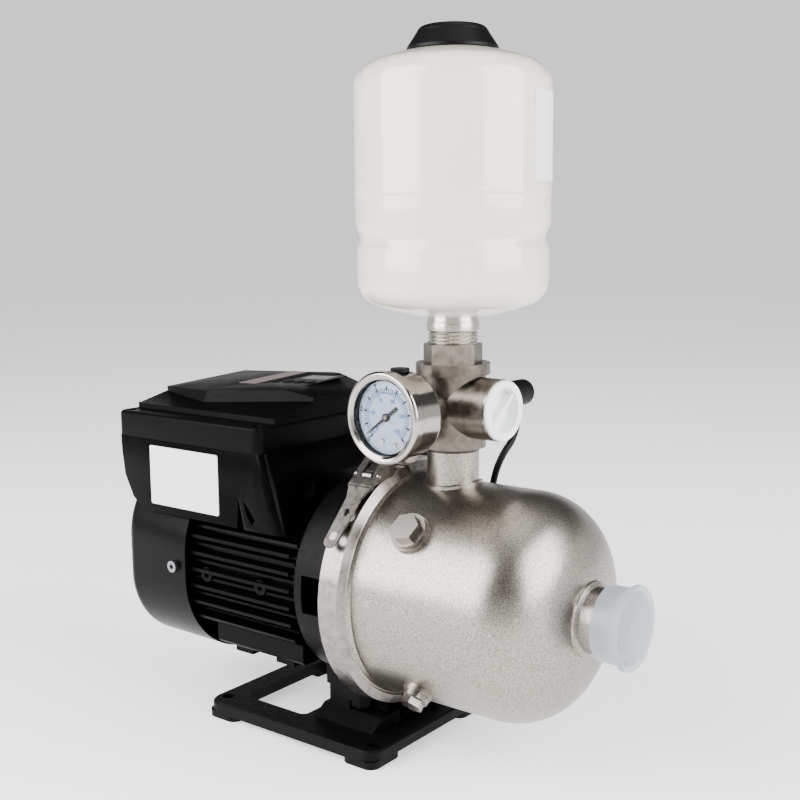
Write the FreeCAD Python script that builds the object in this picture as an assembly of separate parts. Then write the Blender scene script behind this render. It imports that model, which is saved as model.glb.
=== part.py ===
import math
import os

import FreeCAD
import Part

# Pressure pump: a horizontal multistage pump with motor, speed controller, manifold and tank.
# Units are millimetres. The origin is the centre of the base bolts on the floor.
# +X runs along the shaft towards the inlet, +Z is up, and the gauge faces -Y.

V = FreeCAD.Vector
X = V(1, 0, 0)
Y = V(0, 1, 0)
Z = V(0, 0, 1)

# Main sizes
axis_z = 110.0            # shaft height above the floor
tank_x = 95.0             # tank, manifold and outlet stand on this line
barrel_r = 74.7           # outside of the pump barrel
barrel_wall = 1.6
flange_r = 82.0           # rolled flanges under the clamp band
motor_half = 69.0         # half height and width of the ribbed motor housing
cover_half = 74.0         # the same for the open end of the fan cover
tank_r = 63.0
manifold_z = 235.6        # height of the outlet, gauge and sensor ports
manifold_turn = -3.5      # degrees, the ports stand slightly off the pump's axes

# Clearances
run_gap = 0.4             # between turning and fixed pieces inside the pump and motor
fit_gap = 0.3             # between curved faces of different pieces
slide_gap = 0.05          # plugs and caps in their holes

save_folder = "parts"


def place_x(a, r):
    return V(a, 0, axis_z + r)


def place_tank(r, z):
    return V(tank_x + r, 0, z)


def outline(points, place):
    # Points are (a, b), or (mid a, mid b, end a, end b) for an arc.
    edges = []
    last = place(*points[0])
    for item in points[1:]:
        if len(item) == 2:
            here = place(*item)
            edges.append(Part.makeLine(last, here))
        else:
            middle = place(item[0], item[1])
            here = place(item[2], item[3])
            edges.append(Part.Arc(last, middle, here).toShape())
        last = here
    first = place(*points[0])
    if last.distanceToPoint(first) > 1e-6:
        edges.append(Part.makeLine(last, first))
    return Part.Wire(edges)


def turned_x(points):
    return Part.Face(outline(points, place_x)).revolve(V(0, 0, axis_z), X, 360)


def turned_tank(points):
    return Part.Face(outline(points, place_tank)).revolve(V(tank_x, 0, 0), Z, 360)


def rod(base, along, radius, length):
    return Part.makeCylinder(radius, length, base, along)


def rod_x(x0, x1, radius, y=0.0, z=axis_z):
    return rod(V(x0, y, z), X, radius, x1 - x0)


def ring_x(x0, x1, outer, inner):
    return rod_x(x0, x1, outer).cut(rod_x(x0, x1, inner))


def rod_z(x, y, z0, z1, radius):
    return rod(V(x, y, z0), Z, radius, z1 - z0)


def tube(base, along, outer, inner, length):
    return rod(base, along, outer, length).cut(rod(base, along, inner, length))


def block(x0, x1, y0, y1, z0, z1):
    return Part.makeBox(x1 - x0, y1 - y0, z1 - z0, V(x0, y0, z0))


def prism(points, direction):
    wire = Part.makePolygon(points + [points[0]])
    return Part.Face(wire).extrude(direction)


def slab(x0, x1, y0, y1, z0, z1, corner):
    # A plate with rounded upright corners.
    shape = block(x0, x1, y0, y1, z0, z1)
    edges = [e for e in shape.Edges if abs(e.tangentAt(e.FirstParameter).z) > 0.9]
    return shape.makeFillet(corner, edges)


def squircle(x, half, corner):
    # Rounded square around the shaft axis, in the plane of the given X.
    def spot(y, z):
        return V(x, y, axis_z + z)
    flat = half - corner
    bow = flat + corner * math.sqrt(0.5)
    points = [
        (flat, half), (bow, bow, half, flat),
        (half, -flat), (bow, -bow, flat, -half),
        (-flat, -half), (-bow, -bow, -half, -flat),
        (-half, flat), (-bow, bow, -flat, half),
    ]
    return outline(points, spot)


def squircle_prism(x0, x1, half, corner):
    return Part.Face(squircle(x0, half, corner)).extrude(V(x1 - x0, 0, 0))


def hexagon(base, along, flats, length, turn=0.0):
    # Six-sided bar whose first flat is turned about its own axis.
    corner = flats / math.sqrt(3)
    points = []
    for k in range(6):
        angle = math.radians(60 * k + turn)
        points.append(V(corner * math.cos(angle), corner * math.sin(angle), 0))
    shape = prism(points, V(0, 0, length))
    shape.Placement = FreeCAD.Placement(base, FreeCAD.Rotation(Z, along))
    return shape


def fuse(shapes):
    return shapes[0].multiFuse(shapes[1:]).removeSplitter()


def group(shapes):
    return Part.makeCompound(shapes)


def around_x(shape, count, start=0.0):
    copies = []
    for k in range(count):
        copy = shape.copy()
        copy.rotate(V(0, 0, axis_z), X, start + 360.0 * k / count)
        copies.append(copy)
    return copies


def save(name, shape):
    shape.exportStep(os.path.join(save_folder, name + ".step"))


def port_direction(degrees):
    angle = math.radians(degrees + manifold_turn)
    return V(math.cos(angle), math.sin(angle), 0)


manifold_centre = V(tank_x, 0, manifold_z)
outlet_way = port_direction(0)
gauge_way = port_direction(-90)
sensor_way = port_direction(90)


def along_port(way, distance):
    return manifold_centre + way * distance


os.makedirs(save_folder, exist_ok=True)

# Base plate: one iron casting with feet, a window, a plinth and the upright that carries the pump
base_half_x = 77.5
base_half_y = 67.0
base_bottom = 4.0
base_top = 12.0
bolt_x = base_half_x - 9.0
bolt_y = base_half_y - 13.0
bolt_hole_r = 4.5
plinth_top = 19.5
upright_top = 36.0
foot_bolt_x = 36.0
head_x1 = 43.4             # the upright's head stops short of the clamp band
foot_bolt_y = 27.0

plate = slab(-base_half_x, base_half_x, -base_half_y, base_half_y, base_bottom, base_top, 11.0)
top_edges = [e for e in plate.Edges if e.BoundBox.ZMin > base_top - 0.01]
plate = plate.makeChamfer(1.2, top_edges)
feet = []
for sx in (-1, 1):
    for sy in (-1, 1):
        x_far = sx * base_half_x
        x_near = sx * (base_half_x - 28.0)
        y_far = sy * base_half_y
        y_near = sy * (base_half_y - 32.0)
        pad = slab(min(x_far, x_near), max(x_far, x_near),
                   min(y_far, y_near), max(y_far, y_near), 0.0, base_bottom + 1.0, 7.0)
        feet.append(pad)
plinth = prism([V(6, -45, base_top - 1), V(6, 45, base_top - 1), V(6, 32, plinth_top),
                V(6, -32, plinth_top)], V(52, 0, 0))
upright = block(12, 30, -33, 33, base_top, upright_top)
head = slab(12, head_x1, -36, 36, 28, upright_top, 5.0)
gussets = []
for y in (-17.5, 17.5):
    gussets.append(prism([V(28, y - 2.5, 29), V(42, y - 2.5, 29), V(60, y - 2.5, base_top - 0.5),
                          V(28, y - 2.5, base_top - 0.5)], V(0, 5, 0)))
base = fuse([plate] + feet + [plinth, upright, head] + gussets)
base = base.cut(slab(18.0 - base_half_x, -1.0, 21.0 - base_half_y, base_half_y - 21.0, -1.0, 30.0, 5.0))
pocket = block(17, 60, -12, 12, plinth_top - 5, 29).cut(block(0, 30, -40, 40, 0, 60))
base = base.cut(pocket)
holes = []
for sx in (-1, 1):
    for sy in (-1, 1):
        holes.append(rod_z(sx * bolt_x, sy * bolt_y, -1, 20, bolt_hole_r))
for sy in (-1, 1):
    holes.append(rod_z(foot_bolt_x, sy * foot_bolt_y, 20.5, 60, 4.3))
    holes.append(rod_z(foot_bolt_x, sy * foot_bolt_y, 20.5, 28, 8.5))
base = base.cut(group(holes))
save("base_plate", base)

# Foot bolts: two hex bolts that hold the motor bracket down on the upright
bolts = []
for sy in (-1, 1):
    head_low = 28.0 - 5.3
    bolt = hexagon(V(foot_bolt_x, sy * foot_bolt_y, head_low), Z, 13.0, 5.3)
    shank = rod_z(foot_bolt_x, sy * foot_bolt_y, 27.9, 45.0, 4.0)
    bolts.append(fuse([bolt, shank]))
save("foot_bolts", group(bolts))

# Motor bracket: cast ring between motor and pump, with bearing hub, drain windows and foot pad
bracket = turned_x([
    (10, 23), (10, 66), (14, 66), (14, 70), (40, 70), (46.6, flange_r - 6.0),
    (49.6, flange_r - 0.2), (55.2, flange_r - 0.2), (55.2, 66), (18, 66), (15, 63), (15, 22.5), (27, 22.5), (27, 17.5),
    (14, 17.5), (14, 14), (10, 14),
])
pad = block(12, head_x1, -36, 36, upright_top, 56)
pad = pad.cut(rod_x(0, 60, 66.2))
bracket = fuse([bracket, pad])
window = block(20, 36, -90, 90, axis_z - 13, axis_z + 13)
bracket = bracket.cut(window)
threads = [rod_z(foot_bolt_x, sy * foot_bolt_y, 30, 45, 4.0) for sy in (-1, 1)]
bracket = bracket.cut(group(threads))
save("motor_bracket", bracket)

# Motor housing: cast tube with level cooling ribs on both sides, lower rails with lugs
# and a flat pad on top for the controller
housing_x0 = -91.0
housing_x1 = 10.0
rib_end = 8.0
rib_pitch = 12.2
rib_top = 23.5
rib_thick = 2.4
core = ring_x(housing_x0, housing_x1, 60, 56)
ribs = []
for k in range(6):
    level = axis_z + rib_top - k * rib_pitch
    ribs.append(block(housing_x0 + 1, rib_end, -80, 80, level - rib_thick / 2, level + rib_thick / 2))
long_ribs = squircle_prism(housing_x0, rib_end, motor_half, 56).common(group(ribs))
ribs = []
for k in range(6):
    level = axis_z + rib_top - (k - 0.5) * rib_pitch
    ribs.append(block(housing_x0 + 1, rib_end + 2, -80, 80, level - 0.9, level + 0.9))
short_ribs = squircle_prism(housing_x0, rib_end + 2, motor_half - 3.5, 56).common(group(ribs))
under_ribs = []
for k in range(-3, 4):
    under_ribs.append(block(housing_x0 + 1, rib_end, k * 9 - 1.1, k * 9 + 1.1, 40, 60))
under_ribs = squircle_prism(housing_x0, rib_end, motor_half - 3, 56).common(group(under_ribs))
inner = rod_x(housing_x0 - 1, housing_x1 + 1, 58)
rails = []
for sy in (-1, 1):
    rails.append(block(-73, housing_x1, min(sy * 38, sy * 58), max(sy * 38, sy * 58), 54, 68.5))
rails = squircle_prism(housing_x0, housing_x1, 70.0, 48).common(group(rails))
lugs = []
for x0 in (-62, -22):
    for sy in (-1, 1):
        lugs.append(block(x0, x0 + 17, min(sy * 38, sy * 51), max(sy * 38, sy * 51), 48, 58))
deck = slab(-72, -6, -26, 26, 160, 180, 4.0)
bosses = []
for x in (-74, -21):
    bosses.append(rod(V(x, -67, 106.5), Y, 5.5, 134))
ribbed = fuse([long_ribs, short_ribs, under_ribs, rails] + lugs + [deck] + bosses).cut(inner)
housing = fuse([core, ribbed])
drills = []
for x in (-74, -21):
    drills.append(rod(V(x, -68, 106.5), Y, 2.3, 9))
    drills.append(rod(V(x, 59, 106.5), Y, 2.3, 9))
for x0 in (-62, -22):
    for sy in (-1, 1):
        drills.append(rod_z(x0 + 8.5, sy * 45, 47, 56, 3.3))
drills.append(rod_z(-39, 0, 150, 181, 9.0))
housing = housing.cut(group(drills))
save("motor_housing", housing)

# Stator core: slotted iron stack pressed in the housing
stator_r = 32.4
slots = around_x(block(-69, -7, -2.2, 2.2, axis_z + stator_r + 2.2, axis_z + 48), 18)
stator = ring_x(-68, -8, 56, stator_r).cut(group(slots))
save("stator_core", stator)

# Stator windings: the two overhanging coil rings at the ends of the stack
coil_a = turned_x([(-84, 38), (-68, 36), (-68, 52), (-84, 50)])
coil_b = turned_x([(-8, 36), (6, 38), (6, 50), (-8, 52)])
save("stator_windings", group([coil_a, coil_b]))

# Rotor core: laminated drum with cast end rings and small fan vanes
shaft_core_r = 10.0
rotor = ring_x(-68, -8, stator_r - run_gap, shaft_core_r)
end_rings = [ring_x(-73, -68, 30, 20), ring_x(-8, -3, 30, 20)]
vanes = around_x(block(-78, -73, -1, 1, axis_z + 22, axis_z + 29), 6)
vanes += around_x(block(-3, 2, -1, 1, axis_z + 22, axis_z + 29), 6)
save("rotor_core", fuse([rotor] + end_rings + vanes))

# Motor shaft: turned bar through rotor, both bearings, seal and impellers
shaft_r = 7.5
shaft = turned_x([(-127, 0), (-127, 6.9), (-126.4, shaft_r), (-89, shaft_r), (-89, shaft_core_r),
                  (14, shaft_core_r), (14, shaft_r), (169, shaft_r), (169, 5.0), (181, 5.0),
                  (181, 0)])
save("motor_shaft", shaft)

# Bearings: outer races with their shields sit in the hubs, inner races turn with the shaft
outer_races = []
inner_races = []
for x0 in (14.0, -100.0):
    x1 = x0 + 11
    outer_races.append(turned_x([
        (x0, 17.5), (x0, 15), (x0 + 0.6, 15), (x0 + 0.6, 10.9), (x0 + 1.2, 10.9), (x0 + 1.2, 15),
        (x1 - 1.2, 15), (x1 - 1.2, 10.9), (x1 - 0.6, 10.9), (x1 - 0.6, 15), (x1, 15), (x1, 17.5),
    ]))
    inner_races.append(ring_x(x0, x1, 10.5, shaft_r))
save("bearing_outer_races", group(outer_races))
save("bearing_inner_races", group(inner_races))

# Rear endshield: dished disc with the rear bearing hub, registered in the housing end
shield = turned_x([
    (-103, 12), (-103, 22), (-97, 24), (-96, 40), (-99, 58), (-104, 60), (-104, 66), (-91, 66),
    (-91, 55.8),
    (-88, 55.8), (-88, 53), (-93, 52), (-91, 36), (-89, 22), (-89, 17.5), (-100, 17.5), (-100, 12),
])
cover_screw_x = -100.0
shield = shield.cut(group([rod(V(cover_screw_x, sy * 58, axis_z), Y * sy, 2.0, 10) for sy in (-1, 1)]))
save("rear_endshield", shield)

# Cooling fan: moulded hub, back disc and straight blades on the shaft end
fan = fuse([ring_x(-125, -108, 14, shaft_r), ring_x(-110, -108, 56, shaft_r + 2)]
           + around_x(block(-124, -109, -1, 1, axis_z + 12, axis_z + 54), 7))
save("cooling_fan", fan)

# Fan cover: pressed steel shell that tapers to a rounded back wall with air slots
cover_x0 = -156.5
cover_x1 = -88.5
cover_wall = 1.6


def cover_form(inset, back):
    shape = Part.makeLoft([
        squircle(cover_x1, cover_half - inset, 66 - inset),
        squircle(back, cover_half - 3 - inset, 56 - inset),
    ], True, True)
    edges = [e for e in shape.Edges if e.BoundBox.XMax < back + 0.01]
    return shape.makeFillet(10.0 - inset, edges)


cover = cover_form(0.0, cover_x0).cut(cover_form(cover_wall, cover_x0 + cover_wall))
mouth = squircle_prism(cover_x1 - 0.5, cover_x1 + 1, cover_half - cover_wall, 66 - cover_wall)
cover = cover.cut(mouth)
air_slots = around_x(block(cover_x0 - 1, cover_x0 + 3, -2.2, 2.2, axis_z + 16, axis_z + 30), 12)
air_slots += around_x(block(cover_x0 - 1, cover_x0 + 3, -2.2, 2.2, axis_z + 34, axis_z + 52), 20)
cover = cover.cut(group(air_slots))
tabs = []
for sy in (-1, 1):
    tabs.append(rod(V(cover_screw_x, sy * 66, axis_z), Y * sy, 5.0, 6.2))
screw_drill = [rod(V(cover_screw_x, sy * 60, axis_z), Y * sy, 2.1, 20) for sy in (-1, 1)]
cover = fuse([cover] + tabs).cut(group(screw_drill))
save("fan_cover", cover)

# Cover screws: socket screws through the cover's sides into the endshield
screws = []
for sy in (-1, 1):
    head = rod(V(cover_screw_x, sy * 73.8, axis_z), Y * sy, 4.2, 3.0)
    socket = hexagon(V(cover_screw_x, sy * 74.8, axis_z), Y * sy, 3.6, 3.0)
    shank = rod(V(cover_screw_x, sy * 61.0, axis_z), Y * sy, 2.0, 13.0)
    screws.append(fuse([head, shank]).cut(socket))
save("fan_cover_screws", group(screws))

# Controller case: moulded box that straddles the motor, with side wings, flared front legs
# and glands on the pump side
case_half = cover_half      # the case is as wide as the fan cover that it straddles
case_top = 202.0
case_low = 148.0
case_wall = 3.0


def case_side(y, grow):
    # Side view of the case seen from -Y.
    return [
        V(-153.5 + grow, y, case_top + 1), V(-153.0 + grow, y, 190), V(-150.5 + grow, y, 172),
        V(-142.0 + grow, y, 156), V(-131.0 + grow, y, case_low + grow),
        V(7.5 - grow, y, case_low + grow), V(0.5 - grow, y, 168), V(-4.5 - grow, y, 185),
        V(-9.0 - grow, y, case_top + 1),
    ]


case = prism(case_side(-case_half, 0), V(0, 2 * case_half, 0))
case = case.common(block(-200, 50, -2 * case_half, 2 * case_half, 100, case_top))
upright_edges = []
for e in case.Edges:
    way = e.tangentAt(e.FirstParameter)
    if abs(way.y) < 0.1 and abs(way.z) > 0.4 and e.BoundBox.XMin > -12:
        upright_edges.append(e)
case = case.makeFillet(7.0, upright_edges)
hollow = prism(case_side(-case_half + case_wall, case_wall), V(0, 2 * (case_half - case_wall), 0))
hollow = hollow.common(block(-200, -14, -2 * case_half, 2 * case_half, 100, case_top + 2))
keep_out = fuse([
    squircle_prism(-170, -87, cover_half + 0.6 + case_wall, 69.6),
    squircle_prism(-88, 40, motor_half + 1.0 + case_wall, 60),
])
case = case.cut(hollow.cut(keep_out))
saddle = fuse([
    squircle_prism(-171, -87.5, cover_half + 0.6, 66.6),
    squircle_prism(-88, 41, motor_half + 1.0, 57),
])
case = case.cut(saddle)
leg_gap = prism([V(-34, -90, 147), V(-27, -90, 147), V(-32.5, -90, 170)], V(0, 180, 0))
leg_hole = prism([V(-27, -90, 168), V(-17, -90, 156), V(-20, -90, 152), V(-25, -90, 159)],
                 V(0, 180, 0))
case = case.cut(leg_gap).cut(leg_hole)
gland_x = -14.0
gland_z = 192.5
lead_y = 48.0
case_solid = prism(case_side(-case_half, 0), V(0, 2 * case_half, 0))
inside_wall = block(-17, 0, -60, lead_y + 14, 184.6, case_top)
gland_boss = rod(V(-17, lead_y, gland_z), X, 9.3, 13.5).common(block(-20, 0, 0, 80, 150, case_top))
case = fuse([case, inside_wall.common(case_solid), gland_boss])
case = case.cut(rod(V(-30, lead_y, gland_z), X, 6.0, 40))
case = case.cut(rod_z(-39, 0, 170, 190, 8.0))
lid_screw_x = (-147.5, -18.5)
lid_screw_y = case_half - 6.0
case_bosses = []
for x in lid_screw_x:
    for y in (-lid_screw_y, lid_screw_y):
        case_bosses.append(rod_z(x, y, 188, case_top, 4.5).common(case_solid))
case = fuse([case] + case_bosses)
case = case.cut(group([rod_z(x, y, 190, case_top + 1, 2.0) for x in lid_screw_x
                       for y in (-lid_screw_y, lid_screw_y)]))
case = case.cut(slab(-72.4, -5.6, -26.4, 26.4, 160, 180, 4.0))
save("controller_case", case)

# Controller lid: rim with four corner screws, a step, a sloped roof and a raised faceted console
lid_x0 = -155.5
lid_x1 = -10.5
lid_half = case_half + 1.5
rim_top = 220.0
step_top = 223.6

rim = slab(lid_x0, lid_x1, -lid_half, lid_half, case_top, rim_top, 7.0)
rim = rim.makeFillet(2.5, [e for e in rim.Edges if e.BoundBox.ZMin > rim_top - 0.01])
step = slab(lid_x0 + 1, lid_x1 - 1, -57, 62, rim_top - 1, step_top, 3.0)
roof = prism([V(lid_x0 + 2, -54, step_top - 1), V(lid_x0 + 2, -54, step_top),
              V(lid_x0 + 2, -20, 231.0), V(lid_x0 + 2, 54, 231.0), V(lid_x0 + 2, 60, step_top),
              V(lid_x0 + 2, 60, step_top - 1)], V(lid_x1 - lid_x0 - 3.2, 0, 0))
foot_points = [V(-152, -28, 221), V(-101, -43, 221), V(-12, -22, 221), V(-12, 50, 221),
               V(-60, 60, 221), V(-152, 58, 221)]
crown_points = [V(-150, -32, 246), V(-92, -36.5, 246), V(-12, -13, 246), V(-12, 46, 246),
                V(-60, 60, 246), V(-150, 50, 246)]
console = Part.makeLoft([Part.makePolygon(foot_points + [foot_points[0]]),
                         Part.makePolygon(crown_points + [crown_points[0]])], True, True)
panel_spot = V(-55, 26.5, 239.5)
panel_out = V(-0.039, -0.0485, 1).normalize()
panel_right = V(1, 0, 0.039).normalize()
panel_up = panel_out.cross(panel_right)
panel_seat = FreeCAD.Placement(FreeCAD.Matrix(
    panel_right.x, panel_up.x, panel_out.x, panel_spot.x,
    panel_right.y, panel_up.y, panel_out.y, panel_spot.y,
    panel_right.z, panel_up.z, panel_out.z, panel_spot.z, 0, 0, 0, 1))


def on_panel(shape):
    # Moves a shape from the panel's own frame, whose Z leaves the console's top, to its place.
    shape.Placement = panel_seat.multiply(shape.Placement)
    return shape


top_side = on_panel(block(-150, 90, -110, 90, -60, 0))
fall = prism([V(-170, -70, 215), V(-170, -70, 250), V(-110, -70, 250), V(-48, -70, 240.4),
              V(-11, -70, 233.5), V(-11, -70, 215)], V(0, 150, 0))
console = console.common(top_side).common(fall)
lid = fuse([rim, step, roof, console])
lid = lid.cut(slab(lid_x0 + 3.2, lid_x1 - 3.2, -lid_half + 3.2, lid_half - 3.2, 195, rim_top - 3, 4.0))
lid = lid.cut(block(lid_x0 + 8, lid_x1 - 6, -22, 46, 210, 228))
lid = lid.cut(block(-144, -56, -24, 46, 220, 231))
posts = []
for x in lid_screw_x:
    for y in (-lid_screw_y, lid_screw_y):
        posts.append(rod_z(x, y, case_top, rim_top - 2, 5.0))
inner_box = slab(lid_x0 + 1, lid_x1 - 1, -lid_half + 1, lid_half - 1, case_top, rim_top - 1, 6.0)
lid = fuse([lid] + [p.common(inner_box) for p in posts])
wells = []
for x in lid_screw_x:
    for y in (-lid_screw_y, lid_screw_y):
        wells.append(rod_z(x, y, rim_top - 4, rim_top + 8, 3.9))
        wells.append(rod_z(x, y, case_top - 1, rim_top, 2.1))
lid = lid.cut(group(wells))
panel_half_x = 18.0
panel_half_y = 22.5
panel_deep = 1.0
key_r = 4.2
key_spots = (("key_start", -11.0), ("key_up", 0.0), ("key_down", 11.0))
key_row = -12.0
well_deep = 4.4
window_half_x = 13.0
window_low = 2.0
window_high = 18.0
plate_box = (-45.0, -27.0, -30.0, 29.0)
cuts = [block(-panel_half_x, panel_half_x, -panel_half_y, panel_half_y, -panel_deep, 5),
        block(-window_half_x - 0.5, window_half_x + 0.5, window_low - 0.5, window_high + 0.5,
              -well_deep, 0)]
for _, at in key_spots:
    cuts.append(rod_z(at, key_row, -well_deep, 0, key_r + 0.5))
lid = lid.cut(on_panel(group(cuts)))
save("controller_lid", lid)

# Lid screws: cross-head screws sunk in the four corner wells
screws = []
for x in lid_screw_x:
    for y in (-lid_screw_y, lid_screw_y):
        head = rod_z(x, y, rim_top - 4, rim_top - 1.6, 3.6)
        shank = rod_z(x, y, case_top - 6, rim_top - 4, 2.0)
        cross = [block(x - 2, x + 2, y - 0.4, y + 0.4, rim_top - 3, rim_top),
                 block(x - 0.4, x + 0.4, y - 2, y + 2, rim_top - 3, rim_top)]
        screws.append(fuse([head, shank]).cut(group(cross)))
save("lid_screws", group(screws))

# Circuit board: drive board on four posts inside the case, with its larger parts soldered on
board_z = 206.0
board = block(-140, -30, -52, 58, board_z, board_z + 1.6)
board_posts = []
for x in (-134, -36):
    for y in (-46, 52):
        board_posts.append(rod_z(x, y, 150.0, board_z, 3.0).cut(keep_out))
cans = [rod_z(-62, y, board_z + 1.6, 224.0, 8.0) for y in (-14, 8, 30)]
chips = [block(-120, -96, -20, 20, board_z + 1.6, 212), block(-46, -34, -14, 30, board_z + 1.6, 216)]
save("circuit_board", fuse([board] + board_posts + cans + chips))

# Console overlays: thin keypad sheet in the pocket, pierced for keys and window, and a bare
# printed strip beside it
pane = block(-panel_half_x + 0.2, panel_half_x - 0.2, -panel_half_y + 0.2, panel_half_y - 0.2,
             -panel_deep, -panel_deep + 0.6)
openings = [rod_z(at, key_row, -5, 5, key_r + 0.1) for _, at in key_spots]
openings.append(block(-window_half_x, window_half_x, window_low, window_high, -5, 5))
strip = block(plate_box[0], plate_box[1], plate_box[2], plate_box[3], 0, 0.4)
save("console_overlays", on_panel(group([pane.cut(group(openings)), strip])))

# Display window: clear plastic block in the opening of the keypad sheet
window = block(-window_half_x + 0.1, window_half_x - 0.1, window_low + 0.1, window_high - 0.1,
               -well_deep, -panel_deep + 0.5)
save("display_window", on_panel(window))

# Keys: three round push keys with a guide rim below the keypad sheet
for name, at in key_spots:
    key = fuse([rod_z(at, key_row, -well_deep + 0.8, 0.4, key_r - 0.1),
                rod_z(at, key_row, -well_deep + 0.8, -panel_deep - 0.9, key_r + 0.3)])
    save(name, on_panel(key))

# Rating label: blank foil plate on the front wall of the case
label = slab(0, 70, 0, 43, 0, 0.4, 1.5)
label.Placement = FreeCAD.Placement(V(-121.5, -case_half, 154.0), FreeCAD.Rotation(X, 90))
save("rating_label", label)

# Cable gland: the sensor lead's gland on the case end, with a lock nut inside the wall
gland_face = -3.5
gland_mouth = 10.0
lead_r = 2.5
gland = fuse([
    rod(V(-21, lead_y, gland_z), X, 5.95, 17.7),
    hexagon(V(gland_face, lead_y, gland_z), X, 17.0, 5.0),
    Part.makeCone(8.2, 5.2, gland_mouth - gland_face - 5, V(gland_face + 5, lead_y, gland_z), X),
    hexagon(V(-21, lead_y, gland_z), X, 17.0, 4.0),
])
save("cable_gland", gland.cut(rod(V(-30, lead_y, gland_z), X, lead_r, 50)))

# Pump casing: drawn stainless barrel with rolled flange, domed end, inlet and outlet stubs
# and two bosses for the filling and drain plugs
dome_x = 152.3
knuckle = 43.5
crown = 142.0
inlet_r = 20.95
inlet_bore = 17.5
inlet_end = 222.0
outlet_r = 17.25
outlet_thread_r = 16.6
outlet_bore = 13.5


def dome_points(inset):
    # Arc points of the domed end, from the barrel's end to the inlet stub, inset by the wall.
    r = barrel_r - inset
    k = knuckle - inset
    c = crown - inset
    depth = math.sqrt((c - k) ** 2 - (r - k) ** 2)
    centre = dome_x - depth
    lean = math.asin((r - k) / (c - k))
    turn = (math.pi / 2 + lean) / 2
    knuckle_mid = (dome_x + k * math.cos(turn), (r - k) + k * math.sin(turn))
    join = (centre + c * math.cos(lean), c * math.sin(lean))
    stop_r = inlet_r - 0.5 if inset == 0 else inlet_bore
    low = math.asin(stop_r / c)
    mid = (lean + low) / 2
    crown_mid = (centre + c * math.cos(mid), c * math.sin(mid))
    stop = (centre + c * math.cos(low), stop_r)
    return knuckle_mid, join, crown_mid, stop


outer_knuckle, outer_join, outer_crown, outer_stop = dome_points(0.0)
wall_knuckle, wall_join, wall_crown, wall_stop = dome_points(barrel_wall)
inner_r = barrel_r - barrel_wall
casing = turned_x([
    (57.7, flange_r - 5.0), (57.7, flange_r - 0.2), (60.8, flange_r - 0.2), (63.6, flange_r - 4.0),
    (64.6, flange_r - 5.8),
    (67.0, barrel_r), (dome_x, barrel_r), outer_knuckle + outer_join, outer_crown + outer_stop,
    (outer_stop[0], inlet_r), (inlet_end - 1, inlet_r), (inlet_end, inlet_r - 1),
    (inlet_end, inlet_bore), (wall_stop[0], inlet_bore),
    wall_crown + wall_join, wall_knuckle + (dome_x, inner_r),
    (67.0, inner_r), (62.0, flange_r - 6.8), (59.4, flange_r - 5.0),
])
weld = turned_x([(outer_stop[0] - 1.5, inlet_r - 0.4), (outer_stop[0] - 0.9, 24.4),
                 (outer_stop[0] + 0.8, 24.0), (outer_stop[0] + 2.6, inlet_r - 0.4)])
outlet_top = 224.0
thread_start = 208.5
stub = fuse([rod_z(tank_x, 0, axis_z + 50, thread_start, outlet_r),
             rod_z(tank_x, 0, thread_start - 1, outlet_top, outlet_thread_r)])
weld_pad = rod_z(tank_x, 0, axis_z + 40, axis_z + 90, outlet_r + 2.6)
weld_pad = weld_pad.common(rod_x(20, 150, barrel_r + 1.9))
boss_top = barrel_r + 2.7
plug_end = inner_r - 4.1      # the plugs' inner ends


def radial_way(degrees):
    # Direction square to the shaft, measured from straight up towards the front.
    angle = math.radians(degrees)
    return V(0, -math.sin(angle), math.cos(angle))


# Each plug: name, place along the shaft, direction, size across flats, flange radius, bore radius
plugs = (
    ("filling_plug", V(102, 0, axis_z), radial_way(47.5), 17.0, 12.2, 6.6),
    ("drain_plug", V(105, 0, axis_z), radial_way(134.0), 13.0, 9.0, 4.9),
)
bosses = [rod(foot + way * 60, way, wide + 0.9, boss_top - 60)
          for _, foot, way, _, wide, _ in plugs]
inside = rod_x(20, dome_x + 1, inner_r)
additions = fuse([stub, weld_pad] + bosses).cut(inside)
casing = fuse([casing, weld, additions])
casing = casing.cut(rod_z(tank_x, 0, axis_z + 40, outlet_top + 1, outlet_bore))
casing = casing.cut(group([rod(foot + way * 50, way, bore, 40)
                           for _, foot, way, _, _, bore in plugs]))
save("pump_casing", casing)

# Seal plate: pressed stainless back plate of the pump, with the seal seat's pocket
plate = turned_x([(49, 14), (49, 16), (55.2, 16), (55.2, flange_r - 0.2), (56.7, flange_r - 0.2), (56.7, 14)])
save("seal_plate", plate)

# Casing gasket: flat rubber ring between the two flanges
save("casing_gasket", ring_x(56.7, 57.7, flange_r - 1.0, flange_r - 4.8))

# Clamp band: one-piece V ring round the flanges, open at the top under the latch, with two
# pierced ears for the lever's pivot and an upright lip that the link hooks behind
band_in = flange_r + fit_gap
band_out = band_in + 1.5
band_foot = flange_r - 4.0
band = turned_x([
    (45.0, band_foot), (47.4, band_out), (62.8, band_out), (65.2, band_foot), (63.7, band_foot),
    (61.7, band_in), (48.5, band_in), (46.5, band_foot),
])
band = band.cut(block(40, 70, -19, -6, axis_z + 60, axis_z + 90))
pivot = V(0, 0, axis_z) + V(0, -28.5, 82.5).normalize() * (flange_r + 5.284)
link_eye = pivot + V(0, -10.5, -3.0)
lip_y = 9.0
lip_top = axis_z + flange_r + 7.2
pin_r = 2.0
sheet = 1.6
pivot_out = math.hypot(pivot.y, pivot.z - axis_z)
pivot_lean = math.degrees(math.atan2(-pivot.y, pivot.z - axis_z))
ears = []
for x0 in (47.9, 59.4):
    ear = block(x0, x0 + 2.7, -4.2, 4.2, band_in + 0.7, pivot_out)
    ear.rotate(V(0, 0, 0), X, pivot_lean)
    ear.translate(V(0, 0, axis_z))
    ears += [ear, rod(V(x0, pivot.y, pivot.z), X, 4.2, 2.7)]
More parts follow.
